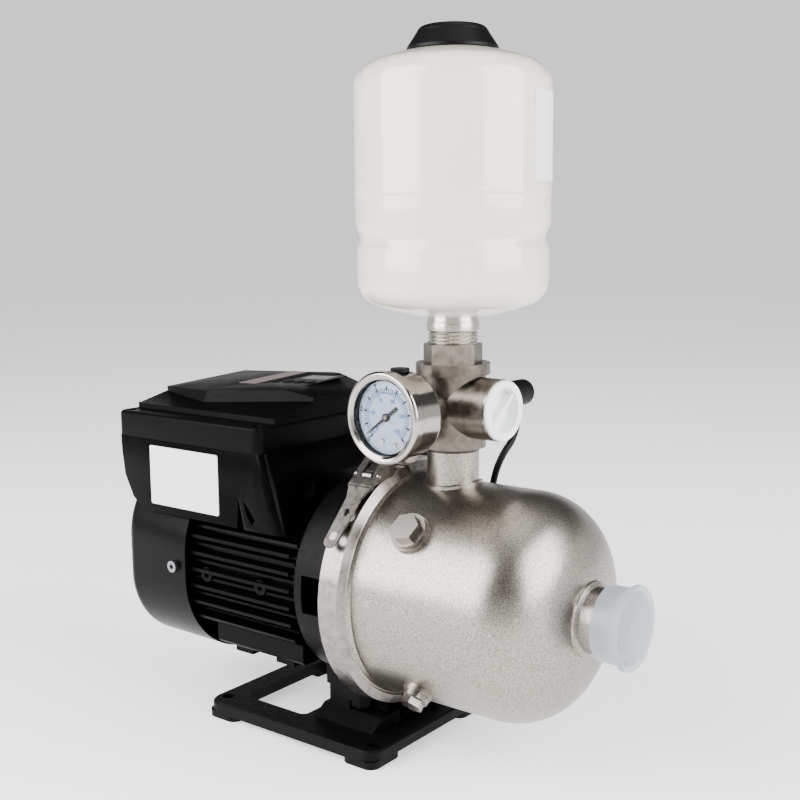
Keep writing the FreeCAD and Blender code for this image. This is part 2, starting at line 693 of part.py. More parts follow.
lip = fuse([block(50, 60, lip_y - 1.6, lip_y, axis_z + flange_r, lip_top),
            block(48.5, 61.5, lip_y - 6, lip_y + 9, axis_z + flange_r - 2, band_out + axis_z + 1.0)])
lip = lip.cut(rod_x(40, 70, band_in + 0.3))
band = fuse([band, lip] + ears).cut(rod(V(40, pivot.y, pivot.z), X, pin_r + slide_gap, 30))
save("clamp_band", band)

# Clamp lever: stamped steel handle whose forked head folds down into two pierced cheeks
bend = pivot + V(55, -20.5, -7.5)
grip_way = V(0, -33.3, -33.8).normalize()
fork_way = V(0, math.cos(math.radians(40)), math.sin(math.radians(40)))
fork_length = 27.0
slot_start = 7.0


def plate_frame(origin, way):
    # Local X runs across the lever, local Y along it; the sheet grows along local Z.
    up = X.cross(way)
    return FreeCAD.Placement(FreeCAD.Matrix(
        1, way.x, up.x, origin.x, 0, way.y, up.y, origin.y, 0, way.z, up.z, origin.z, 0, 0, 0, 1))


grip = prism([V(-10, -1.2, 0), V(10, -1.2, 0), V(7.5, 5, 0), V(5.6, 10, 0), V(5.2, 42.2, 0),
              V(-5.2, 42.2, 0), V(-5.6, 10, 0), V(-7.5, 5, 0)], V(0, 0, sheet))
dimples = [Part.makeSphere(6.0, V(0, at, 3.6 + sheet)) for at in (39, 21)]
grip = fuse([grip, rod(V(0, 42.2, 0), Z, 5.2, sheet)]).cut(group(dimples))
grip.Placement = plate_frame(bend, grip_way)
fork = block(-10, 10, -1.2, fork_length, -sheet, 0)
slot = slab(-4.8, 4.8, slot_start, fork_length + 20, -5, 5, 2.0)
fork = fork.cut(slot)
fork.Placement = plate_frame(bend, fork_way)
fork_tip = bend + fork_way * fork_length
cheeks = []
for x0 in (45.0, 65.0 - sheet):
    side = prism([V(x0, bend.y + 0.8, bend.z), V(x0, fork_tip.y, fork_tip.z - 0.8),
                  V(x0, pivot.y + 4.2, pivot.z), V(x0, pivot.y - 0.5, pivot.z - 4.1)],
                 V(sheet, 0, 0))
    cheeks += [side, rod(V(x0, pivot.y, pivot.z), X, 4.2, sheet),
               rod(V(x0, link_eye.y, link_eye.z), X, 3.4, sheet)]
lever = fuse([grip, fork] + cheeks)
pin_holes = [rod(V(40, at.y, at.z), X, pin_r + slide_gap, 30) for at in (pivot, link_eye)]
save("clamp_lever", lever.cut(group(pin_holes)))

# Clamp pins: pivot pin and link pin, both riveted over the lever's cheeks
pins = []
for at in (pivot, link_eye):
    pins.append(fuse([rod(V(44.5, at.y, at.z), X, pin_r, 21.0), rod(V(44.0, at.y, at.z), X, 2.6, 1.0),
                      rod(V(65.0, at.y, at.z), X, 2.6, 1.0)]))
save("clamp_pins", group(pins))

# Clamp link: curved strap with a rolled eye on the lever's pin and a tongue behind the lip
strap_x0 = 51.4
strap_wide = 7.2
tongue_y = lip_y + 0.7
strap_low = axis_z + flange_r + 8.2
strap = Part.Face(outline([
    (link_eye.y + 1.0, link_eye.z + 2.1), (-16.0, strap_low - 1.6, 8.0, strap_low), (tongue_y, strap_low),
    (tongue_y, strap_low - 4.3), (tongue_y + 1.5, strap_low - 4.3), (tongue_y + 1.5, strap_low + 1.5),
    (8.0, strap_low + 1.5), (-16.0, strap_low - 0.1, link_eye.y + 0.5, link_eye.z + 3.6),
], lambda y, z: V(strap_x0, y, z))).extrude(V(strap_wide, 0, 0))
link = fuse([strap, rod(V(strap_x0, link_eye.y, link_eye.z), X, 3.3, strap_wide)])
save("clamp_link", link.cut(rod(V(40, link_eye.y, link_eye.z), X, pin_r + slide_gap, 30)))

# Mechanical seal: ceramic seat fixed in the seal plate, spring-loaded head turning with the shaft
save("seal_seat", ring_x(50.5, 58.0, 13.95, 9.0))
head = turned_x([
    (58.05, shaft_r), (58.05, 12.5), (61, 12.5), (61, 11), (64, 11), (64, 13.2), (66, 13.2),
    (66, 10), (67.5, 10), (67.5, 12.2), (69, 12.2), (69, 10), (70.5, 10), (70.5, 12.2), (72, 12.2),
    (72, 10), (73.5, 10), (73.5, 12.2), (75, 12.2), (75, 10), (76.5, 10), (76.5, 12.8),
    (79, 12.8), (79, shaft_r),
])
save("seal_head", head)

# Impellers: four closed impellers whose long hubs stack along the shaft
stage_x = 79.0
stage_pitch = 22.0
stage_count = 4
stage_r = inner_r - 7.1       # outside of the stage bowls
disc_r = stage_r - 10.0       # outside of the impellers
impellers = []
for k in range(stage_count):
    x0 = stage_x + k * stage_pitch
    discs = turned_x([(x0, shaft_r), (x0, 12), (x0 + 4, 12), (x0 + 4, disc_r), (x0 + 5.2, disc_r),
                      (x0 + 5.2, 12), (x0 + stage_pitch, 12), (x0 + stage_pitch, shaft_r)])
    front = turned_x([(x0 + 12, 22), (x0 + 12, disc_r), (x0 + 13.2, disc_r), (x0 + 13.2, 23.2),
                      (x0 + 18, 23.2), (x0 + 18, 22)])
    blade = prism([V(x0 + 5, 14, axis_z + 19), V(x0 + 5, 15.2, axis_z + 19),
                   V(x0 + 5, -13, axis_z + disc_r - 2), V(x0 + 5, -15, axis_z + disc_r - 3)], V(7.4, 0, 0))
    impellers.append(fuse([discs, front] + around_x(blade, 6)))
save("impellers", group(impellers))

# Stage bowls: stainless cups round the impellers, each with a bored wall and guide vanes
cups = []
for k in range(stage_count + 1):
    x0 = stage_x + k * stage_pitch
    start = 56.7 if k == 0 else x0 - stage_pitch + 1.2
    eye_r = 24.0 if k > 0 else 14.0
    cup = turned_x([(start, stage_r), (x0 + 1.2, stage_r), (x0 + 1.2, eye_r), (x0, eye_r),
                    (x0, stage_r - 1.2), (start, stage_r - 1.2)])
    if k > 0:
        guide = block(x0 - 3, x0 + 0.2, 25, stage_r - 4, axis_z - 0.6, axis_z + 0.6)
        cup = fuse([cup] + around_x(guide, 6))
    cups.append(cup)
save("stage_bowls", group(cups))

# Impeller nut: lock nut on the shaft's threaded end
nut_x = stage_x + stage_count * stage_pitch
nut = hexagon(V(nut_x, 0, axis_z), X, 17.0, 8.0)
nut = nut.cut(rod_x(nut_x - 1, nut_x + 2, shaft_r)).cut(rod_x(nut_x - 1, nut_x + 20, 5.0))
save("impeller_nut", nut)

# Filling and drain plugs: hex plugs with a flange, screwed in the barrel's bosses
washer_thick = 1.4
flange_thick = 2.2
washers = []
for name, foot, way, flats, wide, bore in plugs:
    face = foot + way * (boss_top + washer_thick)
    plug = fuse([
        rod(foot + way * plug_end, way, bore - slide_gap, boss_top + 2 - plug_end),
        rod(face, way, wide, flange_thick),
        hexagon(face + way * (flange_thick - 0.1), way, flats, 5.0, 15.0),
    ])
    save(name, plug)
    washers.append(tube(foot + way * boss_top, way, wide + 0.2, bore + fit_gap, washer_thick))

# Sealing washers: rubber rings under both plugs and round the outlet plug
outlet_face = 38.5
washers.append(tube(along_port(outlet_way, outlet_face), outlet_way, 19.9, 17.6, 1.5))
save("sealing_washers", group(washers))

# Inlet cap: soft plastic transport cap on the inlet thread, with a rim and a sunk end
cap_x = inlet_end - 11.5
cap_end = inlet_end + 7.5
cap_in = inlet_r + 0.95
cap = turned_x([
    (cap_x, cap_in), (cap_x, cap_in + 1.75), (inlet_end + 3.8, cap_in + 2.35),
    (inlet_end + 4.2, cap_in + 4.75), (cap_end - 0.6, cap_in + 4.75), (cap_end, cap_in + 4.1),
    (cap_end, cap_in + 0.5), (inlet_end + 2.4, cap_in - 0.5), (inlet_end + 2.0, 0), (inlet_end, 0),
    (inlet_end, cap_in - 1.7), (inlet_end - 0.8, cap_in),
])
save("inlet_cap", cap)

# Manifold: cast stainless five-way body with outlet, gauge, sensor, tank and pump ports
port_r = 15.15
manifold_low = thread_start
body = fuse([
    rod_z(tank_x, 0, manifold_low, 257.5, 21.7),
    rod_z(tank_x, 0, 256.6, 264.1, 24.5),
    rod(manifold_centre, outlet_way, 20.1, outlet_face),
    rod(manifold_centre, gauge_way, 11.0, 27.0),
    rod(manifold_centre, sensor_way, 11.0, 27.0),
])
body = body.cut(group([
    rod_z(tank_x, 0, manifold_low - 1, outlet_top + 0.5, outlet_thread_r + slide_gap),
    rod_z(tank_x, 0, outlet_top, 250, 14.5),
    rod_z(tank_x, 0, 249, 265, 16.65),
]))
body = body.cut(group([
    rod(manifold_centre, outlet_way, 13.5, 30),
    rod(along_port(outlet_way, 17.5), outlet_way, port_r, 22),
    rod(along_port(outlet_way, 32.5), outlet_way, 17.2, 8),
]))
side_bore = 6.6
body = body.cut(group([rod(manifold_centre, gauge_way, side_bore, 30),
                       rod(manifold_centre, sensor_way, side_bore, 30)]))
save("manifold", body)

# Outlet plug: white plastic transport plug, a shallow cup with a cross web
plug = tube(along_port(outlet_way, 33.2), outlet_way, 17.15, 14.6, 8.0)
flange = tube(along_port(outlet_way, outlet_face + 1.5), outlet_way, 19.3, 14.6, 2.2)
floor = rod(along_port(outlet_way, 33.2), outlet_way, 17.15, 1.6)
web = block(0, 7.4, -15, 15, -1.2, 1.2)
web.rotate(V(0, 0, 0), X, 40)
web.rotate(V(0, 0, 0), Z, manifold_turn)
web.translate(along_port(outlet_way, 33.4))
plug = fuse([plug, flange, floor, web])
save("outlet_plug", plug)

# Gauge: liquid-filled case, screwed on its back stem in the manifold's side port
gauge_back = 43.0
gauge_front = 71.7
case_r = 27.2
bezel_r = 28.97
dial_at = 65.2


gauge_seat = FreeCAD.Placement(manifold_centre, FreeCAD.Rotation(Z, gauge_way))


def gauge_turned(points):
    # Points are (radius, distance from the manifold's centre line).
    wire = outline(points, lambda r, z: V(r, 0, z))
    shape = Part.Face(wire).revolve(V(0, 0, 0), Z, 360)
    shape.Placement = gauge_seat
    return shape


shell = gauge_turned([
    (0, gauge_back), (case_r - 4, gauge_back),
    (case_r - 1.2, gauge_back + 1.2, case_r, gauge_back + 4), (case_r, 69.0),
    (case_r - 1.2, 69.0), (case_r - 1.2, gauge_back + 4.5), (case_r - 4.2, gauge_back + 1.5),
    (0, gauge_back + 1.5),
])
vent_at = along_port(gauge_way, 53.0)
shell = shell.cut(rod(along_port(gauge_way, 40), gauge_way, 4.5, 6))
shell = shell.cut(rod(vent_at, Z, 4.0, 40))
save("gauge_case", shell)
save("gauge_bezel", gauge_turned([
    (case_r, 63.5), (case_r + 0.5, 63.0), (bezel_r - 0.7, 63.4), (bezel_r, 64.6), (bezel_r, 69.6),
    (bezel_r - 0.7, 71.2, bezel_r - 2.2, gauge_front), (25.4, gauge_front - 0.3), (23.9, 70.4),
    (23.9, 70.2), (case_r, 70.2),
]))
save("gauge_lens", rod(along_port(gauge_way, 69.0), gauge_way, 27.0, 1.2))
dial = rod(along_port(gauge_way, dial_at), gauge_way, 25.95, 0.6)
dial = dial.cut(rod(along_port(gauge_way, dial_at - 1), gauge_way, 1.4, 3))
save("gauge_dial", dial)

# Gauge stem: threaded connector, the movement block behind the dial and its curved tube
stem = fuse([
    rod(along_port(gauge_way, 15.0), gauge_way, side_bore - slide_gap, 20.0),
    rod(along_port(gauge_way, 27.2), gauge_way, 8.5, 15.6),
    rod(along_port(gauge_way, 42.0), gauge_way, 4.4, 8.0),
])
stem_hex = hexagon(along_port(gauge_way, 28.0), gauge_way, 19.0, 10.0)
movement = block(-9, 9, -5, 5, 47, dial_at)
movement.Placement = gauge_seat
movement = movement.cut(rod(along_port(gauge_way, 60), gauge_way, 1.5, 8))
stem = fuse([stem, stem_hex, movement])
stem = stem.cut(rod(along_port(gauge_way, 10.0), gauge_way, 2.5, 30))
save("gauge_stem", stem)

# Gauge pointer: flat needle with a round hub and a short tail on its spindle
pointer_degrees = 216.0
needle = prism([V(-1.1, -11.0, 66.5), V(1.1, -11.0, 66.5), V(0.9, 4, 66.5), V(0.25, 19.6, 66.5),
                V(-0.25, 19.6, 66.5), V(-0.9, 4, 66.5)], V(0, 0, 0.5))
hub = Part.makeCylinder(2.6, 1.2, V(0, 0, 66.3))
spindle = Part.makeCylinder(0.9, 5.0, V(0, 0, 61.6))
pointer = fuse([needle, hub, spindle])
view_right = gauge_way.cross(Z) * -1
angle = math.radians(pointer_degrees)
needle_way = V(0, 0, 1) * math.sin(angle) + view_right * math.cos(angle)
side = needle_way.cross(gauge_way)
matrix = FreeCAD.Matrix(side.x, needle_way.x, gauge_way.x, manifold_centre.x,
                        side.y, needle_way.y, gauge_way.y, manifold_centre.y,
                        side.z, needle_way.z, gauge_way.z, manifold_centre.z, 0, 0, 0, 1)
pointer.Placement = FreeCAD.Placement(matrix)
save("gauge_pointer", pointer)

# Gauge vent plug: black rubber plug in the top of the case
vent = fuse([rod(V(vent_at.x, vent_at.y, manifold_z + 24.5), Z, 3.95, 3.4),
             rod(V(vent_at.x, vent_at.y, manifold_z + 27.3), Z, 6.0, 2.2)])
save("gauge_vent_plug", vent)

# Pressure sensor: threaded steel body with a hexagon, and a moulded head with a lead outlet
sensor = fuse([
    rod(along_port(sensor_way, 15.0), sensor_way, side_bore - slide_gap, 13.0),
    hexagon(along_port(sensor_way, 27.2), sensor_way, 22.0, 9.0),
    rod(along_port(sensor_way, 36.0), sensor_way, 10.0, 21.0),
])
sensor = sensor.cut(rod(along_port(sensor_way, 10.0), sensor_way, 2.0, 20))
save("sensor_body", sensor)
head_r = 9.2
exit_at = along_port(sensor_way, 69.0)
lead_top = 223.0
head = rod(along_port(sensor_way, 57.0), sensor_way, head_r, 26.5)
head = head.makeFillet(4.0, [e for e in head.Edges if e.CenterOfMass.y > 82.0])
exit_boss = rod(V(exit_at.x, exit_at.y, lead_top), Z, 4.4, 12.0)
save("sensor_head", fuse([head, exit_boss]))


def cord(points, radius):
    # Tube of straight runs joined by tangent arcs.
    edges = []
    start = points[0]
    for k in range(1, len(points) - 1):
        before = (points[k] - points[k - 1])
        after = (points[k + 1] - points[k])
        half = before.getAngle(after) / 2
        reach = 0.45 * min(before.Length, after.Length)
        one = V(before).normalize()
        two = V(after).normalize()
        first = points[k] - one * reach
        last = points[k] + two * reach
        bend = reach / math.tan(half)
        inward = (two - one).normalize()
        middle = points[k] + inward * (bend / math.cos(half) - bend)
        edges.append(Part.makeLine(start, first))
        edges.append(Part.Arc(first, middle, last).toShape())
        print("bend radius", round(bend, 1))
        start = last
    edges.append(Part.makeLine(start, points[-1]))
    wire = Part.Wire(edges)
    print("cord length", round(wire.Length, 1))
    way = V(points[1] - points[0])
    profile = Part.Wire([Part.makeCircle(radius, points[0], way)])
    return wire.makePipeShell([profile], True, False)


# Sensor lead: round black lead from the sensor's head, down behind the barrel to its gland
lead_points = [
    V(exit_at.x, exit_at.y, lead_top), V(exit_at.x, exit_at.y, 207), V(98.0, 50, 190), V(84, 62, 160),
    V(56, 72, 170), V(30, lead_y, gland_z), V(gland_mouth, lead_y, gland_z),
]
save("sensor_lead", cord(lead_points, lead_r))

# Tank adapter: eight-sided bush between manifold and tank
octagon = []
for k in range(8):
    angle = math.radians(-55.1 + 45 * k)
    octagon.append(V(tank_x + 19.3 * math.cos(angle), 19.3 * math.sin(angle), 264.1))
adapter = fuse([prism(octagon, V(0, 0, 12.5)), rod_z(tank_x, 0, 250.2, 264.5, 16.6)])
adapter = adapter.cut(rod_z(tank_x, 0, 249, 278, 12.0))
adapter = adapter.cut(rod_z(tank_x, 0, 267, 278, 16.65))
save("tank_adapter", adapter)

# Tank nipple: threaded steel neck with a flared foot welded under the tank
nipple = turned_tank([(11.5, 267.2), (16.6, 267.2), (16.6, 285.0), (17.25, 285.6), (17.25, 289.5),
                      (16.2, 292.5), (16.4, 295.4), (11.5, 295.4)])
save("tank_nipple", nipple)

# Tank shell: two drawn halves with a rolled bead, a step and a groove, domed at both ends
tank_knuckle = 17.0
tank_crown = 150.0
tank_wall = 1.2
tank_top_z = 438.5
bowl_r = tank_r - 1.0
bowl_z = 318.0


def tank_dome(radius, level, way, inset, stop_r):
    # Arc points of a tank end, from its upright wall to a stop radius; way is 1 up or -1 down.
    r = radius - inset
    k = tank_knuckle - inset
    c = tank_crown - inset
    depth = math.sqrt((c - k) ** 2 - (r - k) ** 2)
    lean = math.asin((r - k) / (c - k))
    turn = (math.pi / 2 + lean) / 2
    low = math.asin(stop_r / c)
    mid = (lean + low) / 2
    centre = level - way * depth
    knuckle_mid = (r - k + k * math.sin(turn), level + way * k * math.cos(turn))
    join = (c * math.sin(lean), centre + way * c * math.cos(lean))
    crown_mid = (c * math.sin(mid), centre + way * c * math.cos(mid))
    stop = (c * math.sin(low), centre + way * c * math.cos(low))
    return knuckle_mid, join, crown_mid, stop


crown_depth = math.sqrt((tank_crown - tank_knuckle) ** 2 - (tank_r - tank_knuckle) ** 2)
crown_top = tank_top_z - crown_depth + tank_crown
groove_r = bowl_r - 2.2
top_out = tank_dome(tank_r, tank_top_z, 1, 0.0, 4.6)
top_in = tank_dome(tank_r, tank_top_z, 1, tank_wall, 4.6)
low_out = tank_dome(bowl_r, bowl_z, -1, 0.0, 16.45)
low_in = tank_dome(bowl_r, bowl_z, -1, tank_wall, 16.45)
wall_profile = [(tank_r, 374.6), (tank_r + 0.5, 373.2), (tank_r + 0.5, 372.0), (tank_r, 370.6),
                (tank_r - 0.1, 354.0), (bowl_r, 350.0), (groove_r, 345.8), (groove_r, 342.6),
                (bowl_r, 338.4), (bowl_r, bowl_z)]
inner_profile = [(bowl_r - tank_wall, bowl_z), (bowl_r - tank_wall, 337.8),
                 (groove_r - tank_wall, 341.8), (groove_r - tank_wall, 346.6), (bowl_r - tank_wall, 351.0), (tank_r - tank_wall, 354.6),
                 (tank_r - tank_wall, tank_top_z)]
tank = turned_tank(
    [top_out[3], top_out[2] + top_out[1], top_out[0] + (tank_r, tank_top_z)] + wall_profile
    + [low_out[0] + low_out[1], low_out[2] + low_out[3], low_in[3], low_in[2] + low_in[1],
       low_in[0] + (bowl_r - tank_wall, bowl_z)] + inner_profile[1:]
    + [top_in[0] + top_in[1], top_in[2] + top_in[3]])
save("tank_shell", tank)

# Tank diaphragm: moulded rubber bag in the lower half, gripped behind the bead
bag_r = bowl_r - 5.5
diaphragm = turned_tank([
    (tank_r - 3.5, 374.0), (tank_r - tank_wall, 374.0), (tank_r - tank_wall, 370.5),
    (tank_r - 4.0, 369.5), (bag_r, 352.0), (bag_r, 330.0), (bag_r - 7.0, 313.0, bag_r - 20.5, 306.5),
    (0, 304.0), (0, 306.0), (bag_r - 21.0, 308.5), (bag_r - 8.3, 314.6, bag_r - 2.0, 330.5),
    (bag_r - 2.0, 352.0), (bag_r + 0.5, 371.0),
])
save("tank_diaphragm", diaphragm)

# Air valve: filling valve in the tank's crown, under the cap
valve = fuse([
    rod_z(tank_x, 0, crown_top - 5.7, crown_top + 8.3, 4.0),
    rod_z(tank_x, 0, crown_top, crown_top + 2.3, 7.0),
]).cut(rod_z(tank_x, 0, crown_top - 7, crown_top + 10, 1.6))
save("air_valve", valve)

# Tank cap: black plastic cap that pulls off the tank's crown
cap_top = crown_top + 12.9
cap = turned_tank([
    (29.4, cap_top - 15.2), (29.2, cap_top - 13.4), (22.9, cap_top - 4.0),
    (20.6, cap_top - 1.0, 16.5, cap_top), (0, cap_top), (0, cap_top - 2.0), (16.0, cap_top - 2.0),
    (19.6, cap_top - 3.2, 21.2, cap_top - 5.0), (27.0, cap_top - 13.6), (27.0, cap_top - 15.2),
])
save("tank_cap", cap)

# Tank label: blank sheet wrapped round the tank
label_in = tank_r + 0.05
label_out = tank_r + 0.3
wrap = rod_z(tank_x, 0, 379.6, 434.0, label_out).cut(rod_z(tank_x, 0, 379, 435, label_in))
label_sector = prism([V(tank_x, 0, 379), V(tank_x + 110, -6, 379), V(tank_x + 60, 100, 379)],
                     V(0, 0, 60))
save("tank_label", wrap.common(label_sector))
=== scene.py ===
import math

import bpy
from mathutils import Matrix, Vector


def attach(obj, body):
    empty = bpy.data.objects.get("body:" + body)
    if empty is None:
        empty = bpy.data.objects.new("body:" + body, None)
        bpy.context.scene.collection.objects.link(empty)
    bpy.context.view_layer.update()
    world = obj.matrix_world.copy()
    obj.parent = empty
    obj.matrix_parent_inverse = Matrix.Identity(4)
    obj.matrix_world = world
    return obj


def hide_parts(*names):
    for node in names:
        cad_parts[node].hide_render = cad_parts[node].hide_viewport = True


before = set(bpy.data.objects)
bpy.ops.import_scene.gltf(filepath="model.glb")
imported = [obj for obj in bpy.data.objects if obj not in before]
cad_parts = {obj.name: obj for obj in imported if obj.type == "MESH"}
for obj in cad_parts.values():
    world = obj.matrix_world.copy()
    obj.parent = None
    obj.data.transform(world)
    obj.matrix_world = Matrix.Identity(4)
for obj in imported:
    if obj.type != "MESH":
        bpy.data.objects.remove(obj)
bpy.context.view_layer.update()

# Camera: it stands in front of the pump and to its right, level with the lower half of the tank,
# and looks down by eight degrees. Its angles are in degrees, its lens and film in millimetres.
camera_place = Vector((0.529175, -0.622097, 0.350092))
camera_turn = 37.551
camera_fall = 8.327
camera_roll = 0.446
camera_lens = 52.34
camera_film = 36.0
camera_near = 0.01

camera_data = bpy.data.cameras.new("studio_camera")
camera_data.lens = camera_lens
camera_data.sensor_width = camera_film
camera_data.clip_start = camera_near
camera = bpy.data.objects.new("studio_camera", camera_data)
bpy.context.scene.collection.objects.link(camera)
camera.matrix_world = (Matrix.Translation(camera_place)
                       @ Matrix.Rotation(math.radians(camera_turn), 4, "Z")
                       @ Matrix.Rotation(math.radians(90 - camera_fall), 4, "X")
                       @ Matrix.Rotation(math.radians(-camera_roll), 4, "Z"))
bpy.context.scene.camera = camera

# Sensor lead: a round lead in nitrile rubber, extruded over its cores. It leaves the pressure
# sensor downwards, hangs behind the barrel and climbs to its gland on the controller. The
# extruded skin looks dull black, with a faint sheen.
lead_width = 0.005
lead_route = (
    (0.1028, 0.0689, 0.2225), (0.1018, 0.0689, 0.207), (0.098, 0.050, 0.190), (0.084, 0.062, 0.160),
    (0.056, 0.072, 0.170), (0.030, 0.048, 0.1925), (0.0105, 0.048, 0.1925),
)


def linear(hex_colour):
    # Turns a screen colour such as "#1a1b1c" into the linear values that a shader takes.
    values = []
    for start in (1, 3, 5):
        part = int(hex_colour[start:start + 2], 16) / 255
        values.append(part / 12.92 if part <= 0.04045 else ((part + 0.055) / 1.055) ** 2.4)
    return (values[0], values[1], values[2], 1.0)


def add_node(material, kind, settings=None, links=None):
    # Adds one shader node with its settings, and joins its inputs to other nodes' outputs.
    tree = material.node_tree
    node = tree.nodes.new(kind)
    for name, value in (settings or {}).items():
        if isinstance(name, int) or name in node.inputs:
            node.inputs[name].default_value = value
        else:
            setattr(node, name, value)
    for name, (source, output) in (links or {}).items():
        tree.links.new(source.outputs[output], node.inputs[name])
    return node


def new_finish(name, colour, **sockets):
    # A new surface with its Principled shader's own constants set.
    material = bpy.data.materials.new(name)
    material.use_nodes = True
    shader = material.node_tree.nodes["Principled BSDF"]
    shader.inputs["Base Color"].default_value = linear(colour)
    for socket, value in sockets.items():
        shader.inputs[socket.replace("_", " ")].default_value = value
    return material


def own_space(material, stretch=(1.0, 1.0, 1.0)):
    # The piece's own coordinates in metres, stretched where a pattern runs one way.
    where = add_node(material, "ShaderNodeTexCoord")
    return add_node(material, "ShaderNodeMapping", {"Scale": stretch}, {"Vector": (where, "Object")})


def grain(material, size_mm, depth_mm, strength, detail=3.0):
    # Fine relief of grains about size_mm across, as casting, blasting and moulding leave.
    noise = add_node(material, "ShaderNodeTexNoise",
                     {"Scale": 1000.0 / size_mm, "Detail": detail, "Roughness": 0.6},
                     {"Vector": (own_space(material), "Vector")})
    bump = add_node(material, "ShaderNodeBump", {"Strength": strength, "Distance": depth_mm / 1000},
                    {"Height": (noise, "Fac")})
    shader = material.node_tree.nodes["Principled BSDF"]
    material.node_tree.links.new(bump.outputs["Normal"], shader.inputs["Normal"])
    return noise


rubber_lead = new_finish("nitrile rubber extruded", "#0a0a0b", Roughness=0.46,
                         Specular_IOR_Level=0.15)
grain(rubber_lead, size_mm=0.35, depth_mm=0.02, strength=0.3)

lead_curve = bpy.data.curves.new("sensor_lead_line", "CURVE")
lead_curve.dimensions = "3D"
lead_curve.bevel_depth = lead_width / 2
lead_curve.bevel_resolution = 6
lead_curve.resolution_u = 16
lead_curve.use_fill_caps = True
lead_line = lead_curve.splines.new("NURBS")
lead_line.points.add(len(lead_route) - 1)
for point, place in zip(lead_line.points, lead_route):
    point.co = (place[0], place[1], place[2], 1.0)
lead_line.order_u = 3
lead_line.use_endpoint_u = True
lead = bpy.data.objects.new("sensor_lead_line", lead_curve)
bpy.context.scene.collection.objects.link(lead)
lead_curve.materials.append(rubber_lead)
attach(lead, "frame")
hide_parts("sensor_lead")

# Base, motor bracket and rear end shield: grey iron, sand cast, shot blasted and sprayed black
# together with the foot bolts that hold them. The paint is thin, so the sand's grain shows under
# a low gloss. Real sand is finer, and is drawn coarser here so that it shows.


def uneven(material, socket, size_mm, low, high, detail=4.0, stretch=(1.0, 1.0, 1.0)):
    # Clouds about size_mm across that move one number of the shader between low and high.
    noise = add_node(material, "ShaderNodeTexNoise", {"Scale": 1000.0 / size_mm, "Detail": detail},
                     {"Vector": (own_space(material, stretch), "Vector")})
    span = add_node(material, "ShaderNodeMapRange",
                    {"From Min": 0.3, "From Max": 0.7, "To Min": low, "To Max": high},
                    {"Value": (noise, "Fac")})
    shader = material.node_tree.nodes["Principled BSDF"]
    material.node_tree.links.new(span.outputs["Result"], shader.inputs[socket])
    return noise


def dress(node, material):
    # Gives a CAD node its finish.
    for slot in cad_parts[node].material_slots:
        slot.material = material


cast_paint = new_finish("grey cast iron black enamel", "#080809", Roughness=0.4,
                        Specular_IOR_Level=0.07)
grain(cast_paint, size_mm=1.3, depth_mm=0.2, strength=0.8, detail=4.0)
uneven(cast_paint, "Roughness", size_mm=4.0, low=0.34, high=0.52)
for node in ("base_plate", "motor_bracket", "rear_endshield", "foot_bolts"):
    dress(node, cast_paint)

# Small screws and the impellers' nut: carbon steel, cold headed and zinc plated, which leaves
# a bright skin with a faint grain.
zinc_steel = new_finish("zinc plated steel cold headed", "#85868a", Metallic=1.0, Roughness=0.3)
grain(zinc_steel, size_mm=0.5, depth_mm=0.02, strength=0.2)
for node in ("fan_cover_screws", "lid_screws", "impeller_nut"):
    dress(node, zinc_steel)

# Motor housing: aluminium, pressure die cast with its cooling ribs and sprayed black with a soft
# gloss. The spray leaves a fine skin that blurs every reflection.
die_cast = new_finish("die cast aluminium black spray paint", "#040405", Roughness=0.34,
                      Specular_IOR_Level=0.05)
grain(die_cast, size_mm=0.6, depth_mm=0.05, strength=0.3)
uneven(die_cast, "Roughness", size_mm=6.0, low=0.3, high=0.44)
dress("motor_housing", die_cast)

# Fan cover: steel sheet, deep drawn and pushed over the end shield. Its fine black powder coat
# is glossier than the paint beside it and has a slight orange peel.
powder_coat = new_finish("drawn steel black powder coat", "#050506", Roughness=0.28,
                         Specular_IOR_Level=0.06)
grain(powder_coat, size_mm=2.2, depth_mm=0.05, strength=0.22, detail=1.0)
dress("fan_cover", powder_coat)

# Cooling fan: polypropylene, injection moulded in one piece with its hub and pressed on the
# shaft behind the cover's slots. It is a dull, slightly grey black.
fan_plastic = new_finish("polypropylene moulded black", "#131314", Roughness=0.5)
grain(fan_plastic, size_mm=0.8, depth_mm=0.02, strength=0.2)
dress("cooling_fan", fan_plastic)

# Motor's inside: stamped and stacked electrical steel, coils of enamelled copper wire, and
# a ground shaft and races. None of it shows outside, but each has the finish that it is made
# with. Sheets and wires are drawn at about twice their real thickness.
wave_span_mm = 314.0
sheet_pitch_mm = 1.0
wire_pitch_mm = 2.1


def two_tones(material, noise, first, second, low=0.35, high=0.65):
    # Colours a surface between two near tones along a noise that it already has.
    span = add_node(material, "ShaderNodeMapRange", {"From Min": low, "From Max": high},
                    {"Value": (noise, "Fac")})
    mix = add_node(material, "ShaderNodeMix",
                   {"data_type": "RGBA", 6: linear(first), 7: linear(second)},
                   {"Factor": (span, "Result")})
    shader = material.node_tree.nodes["Principled BSDF"]
    material.node_tree.links.new(mix.outputs[2], shader.inputs["Base Color"])


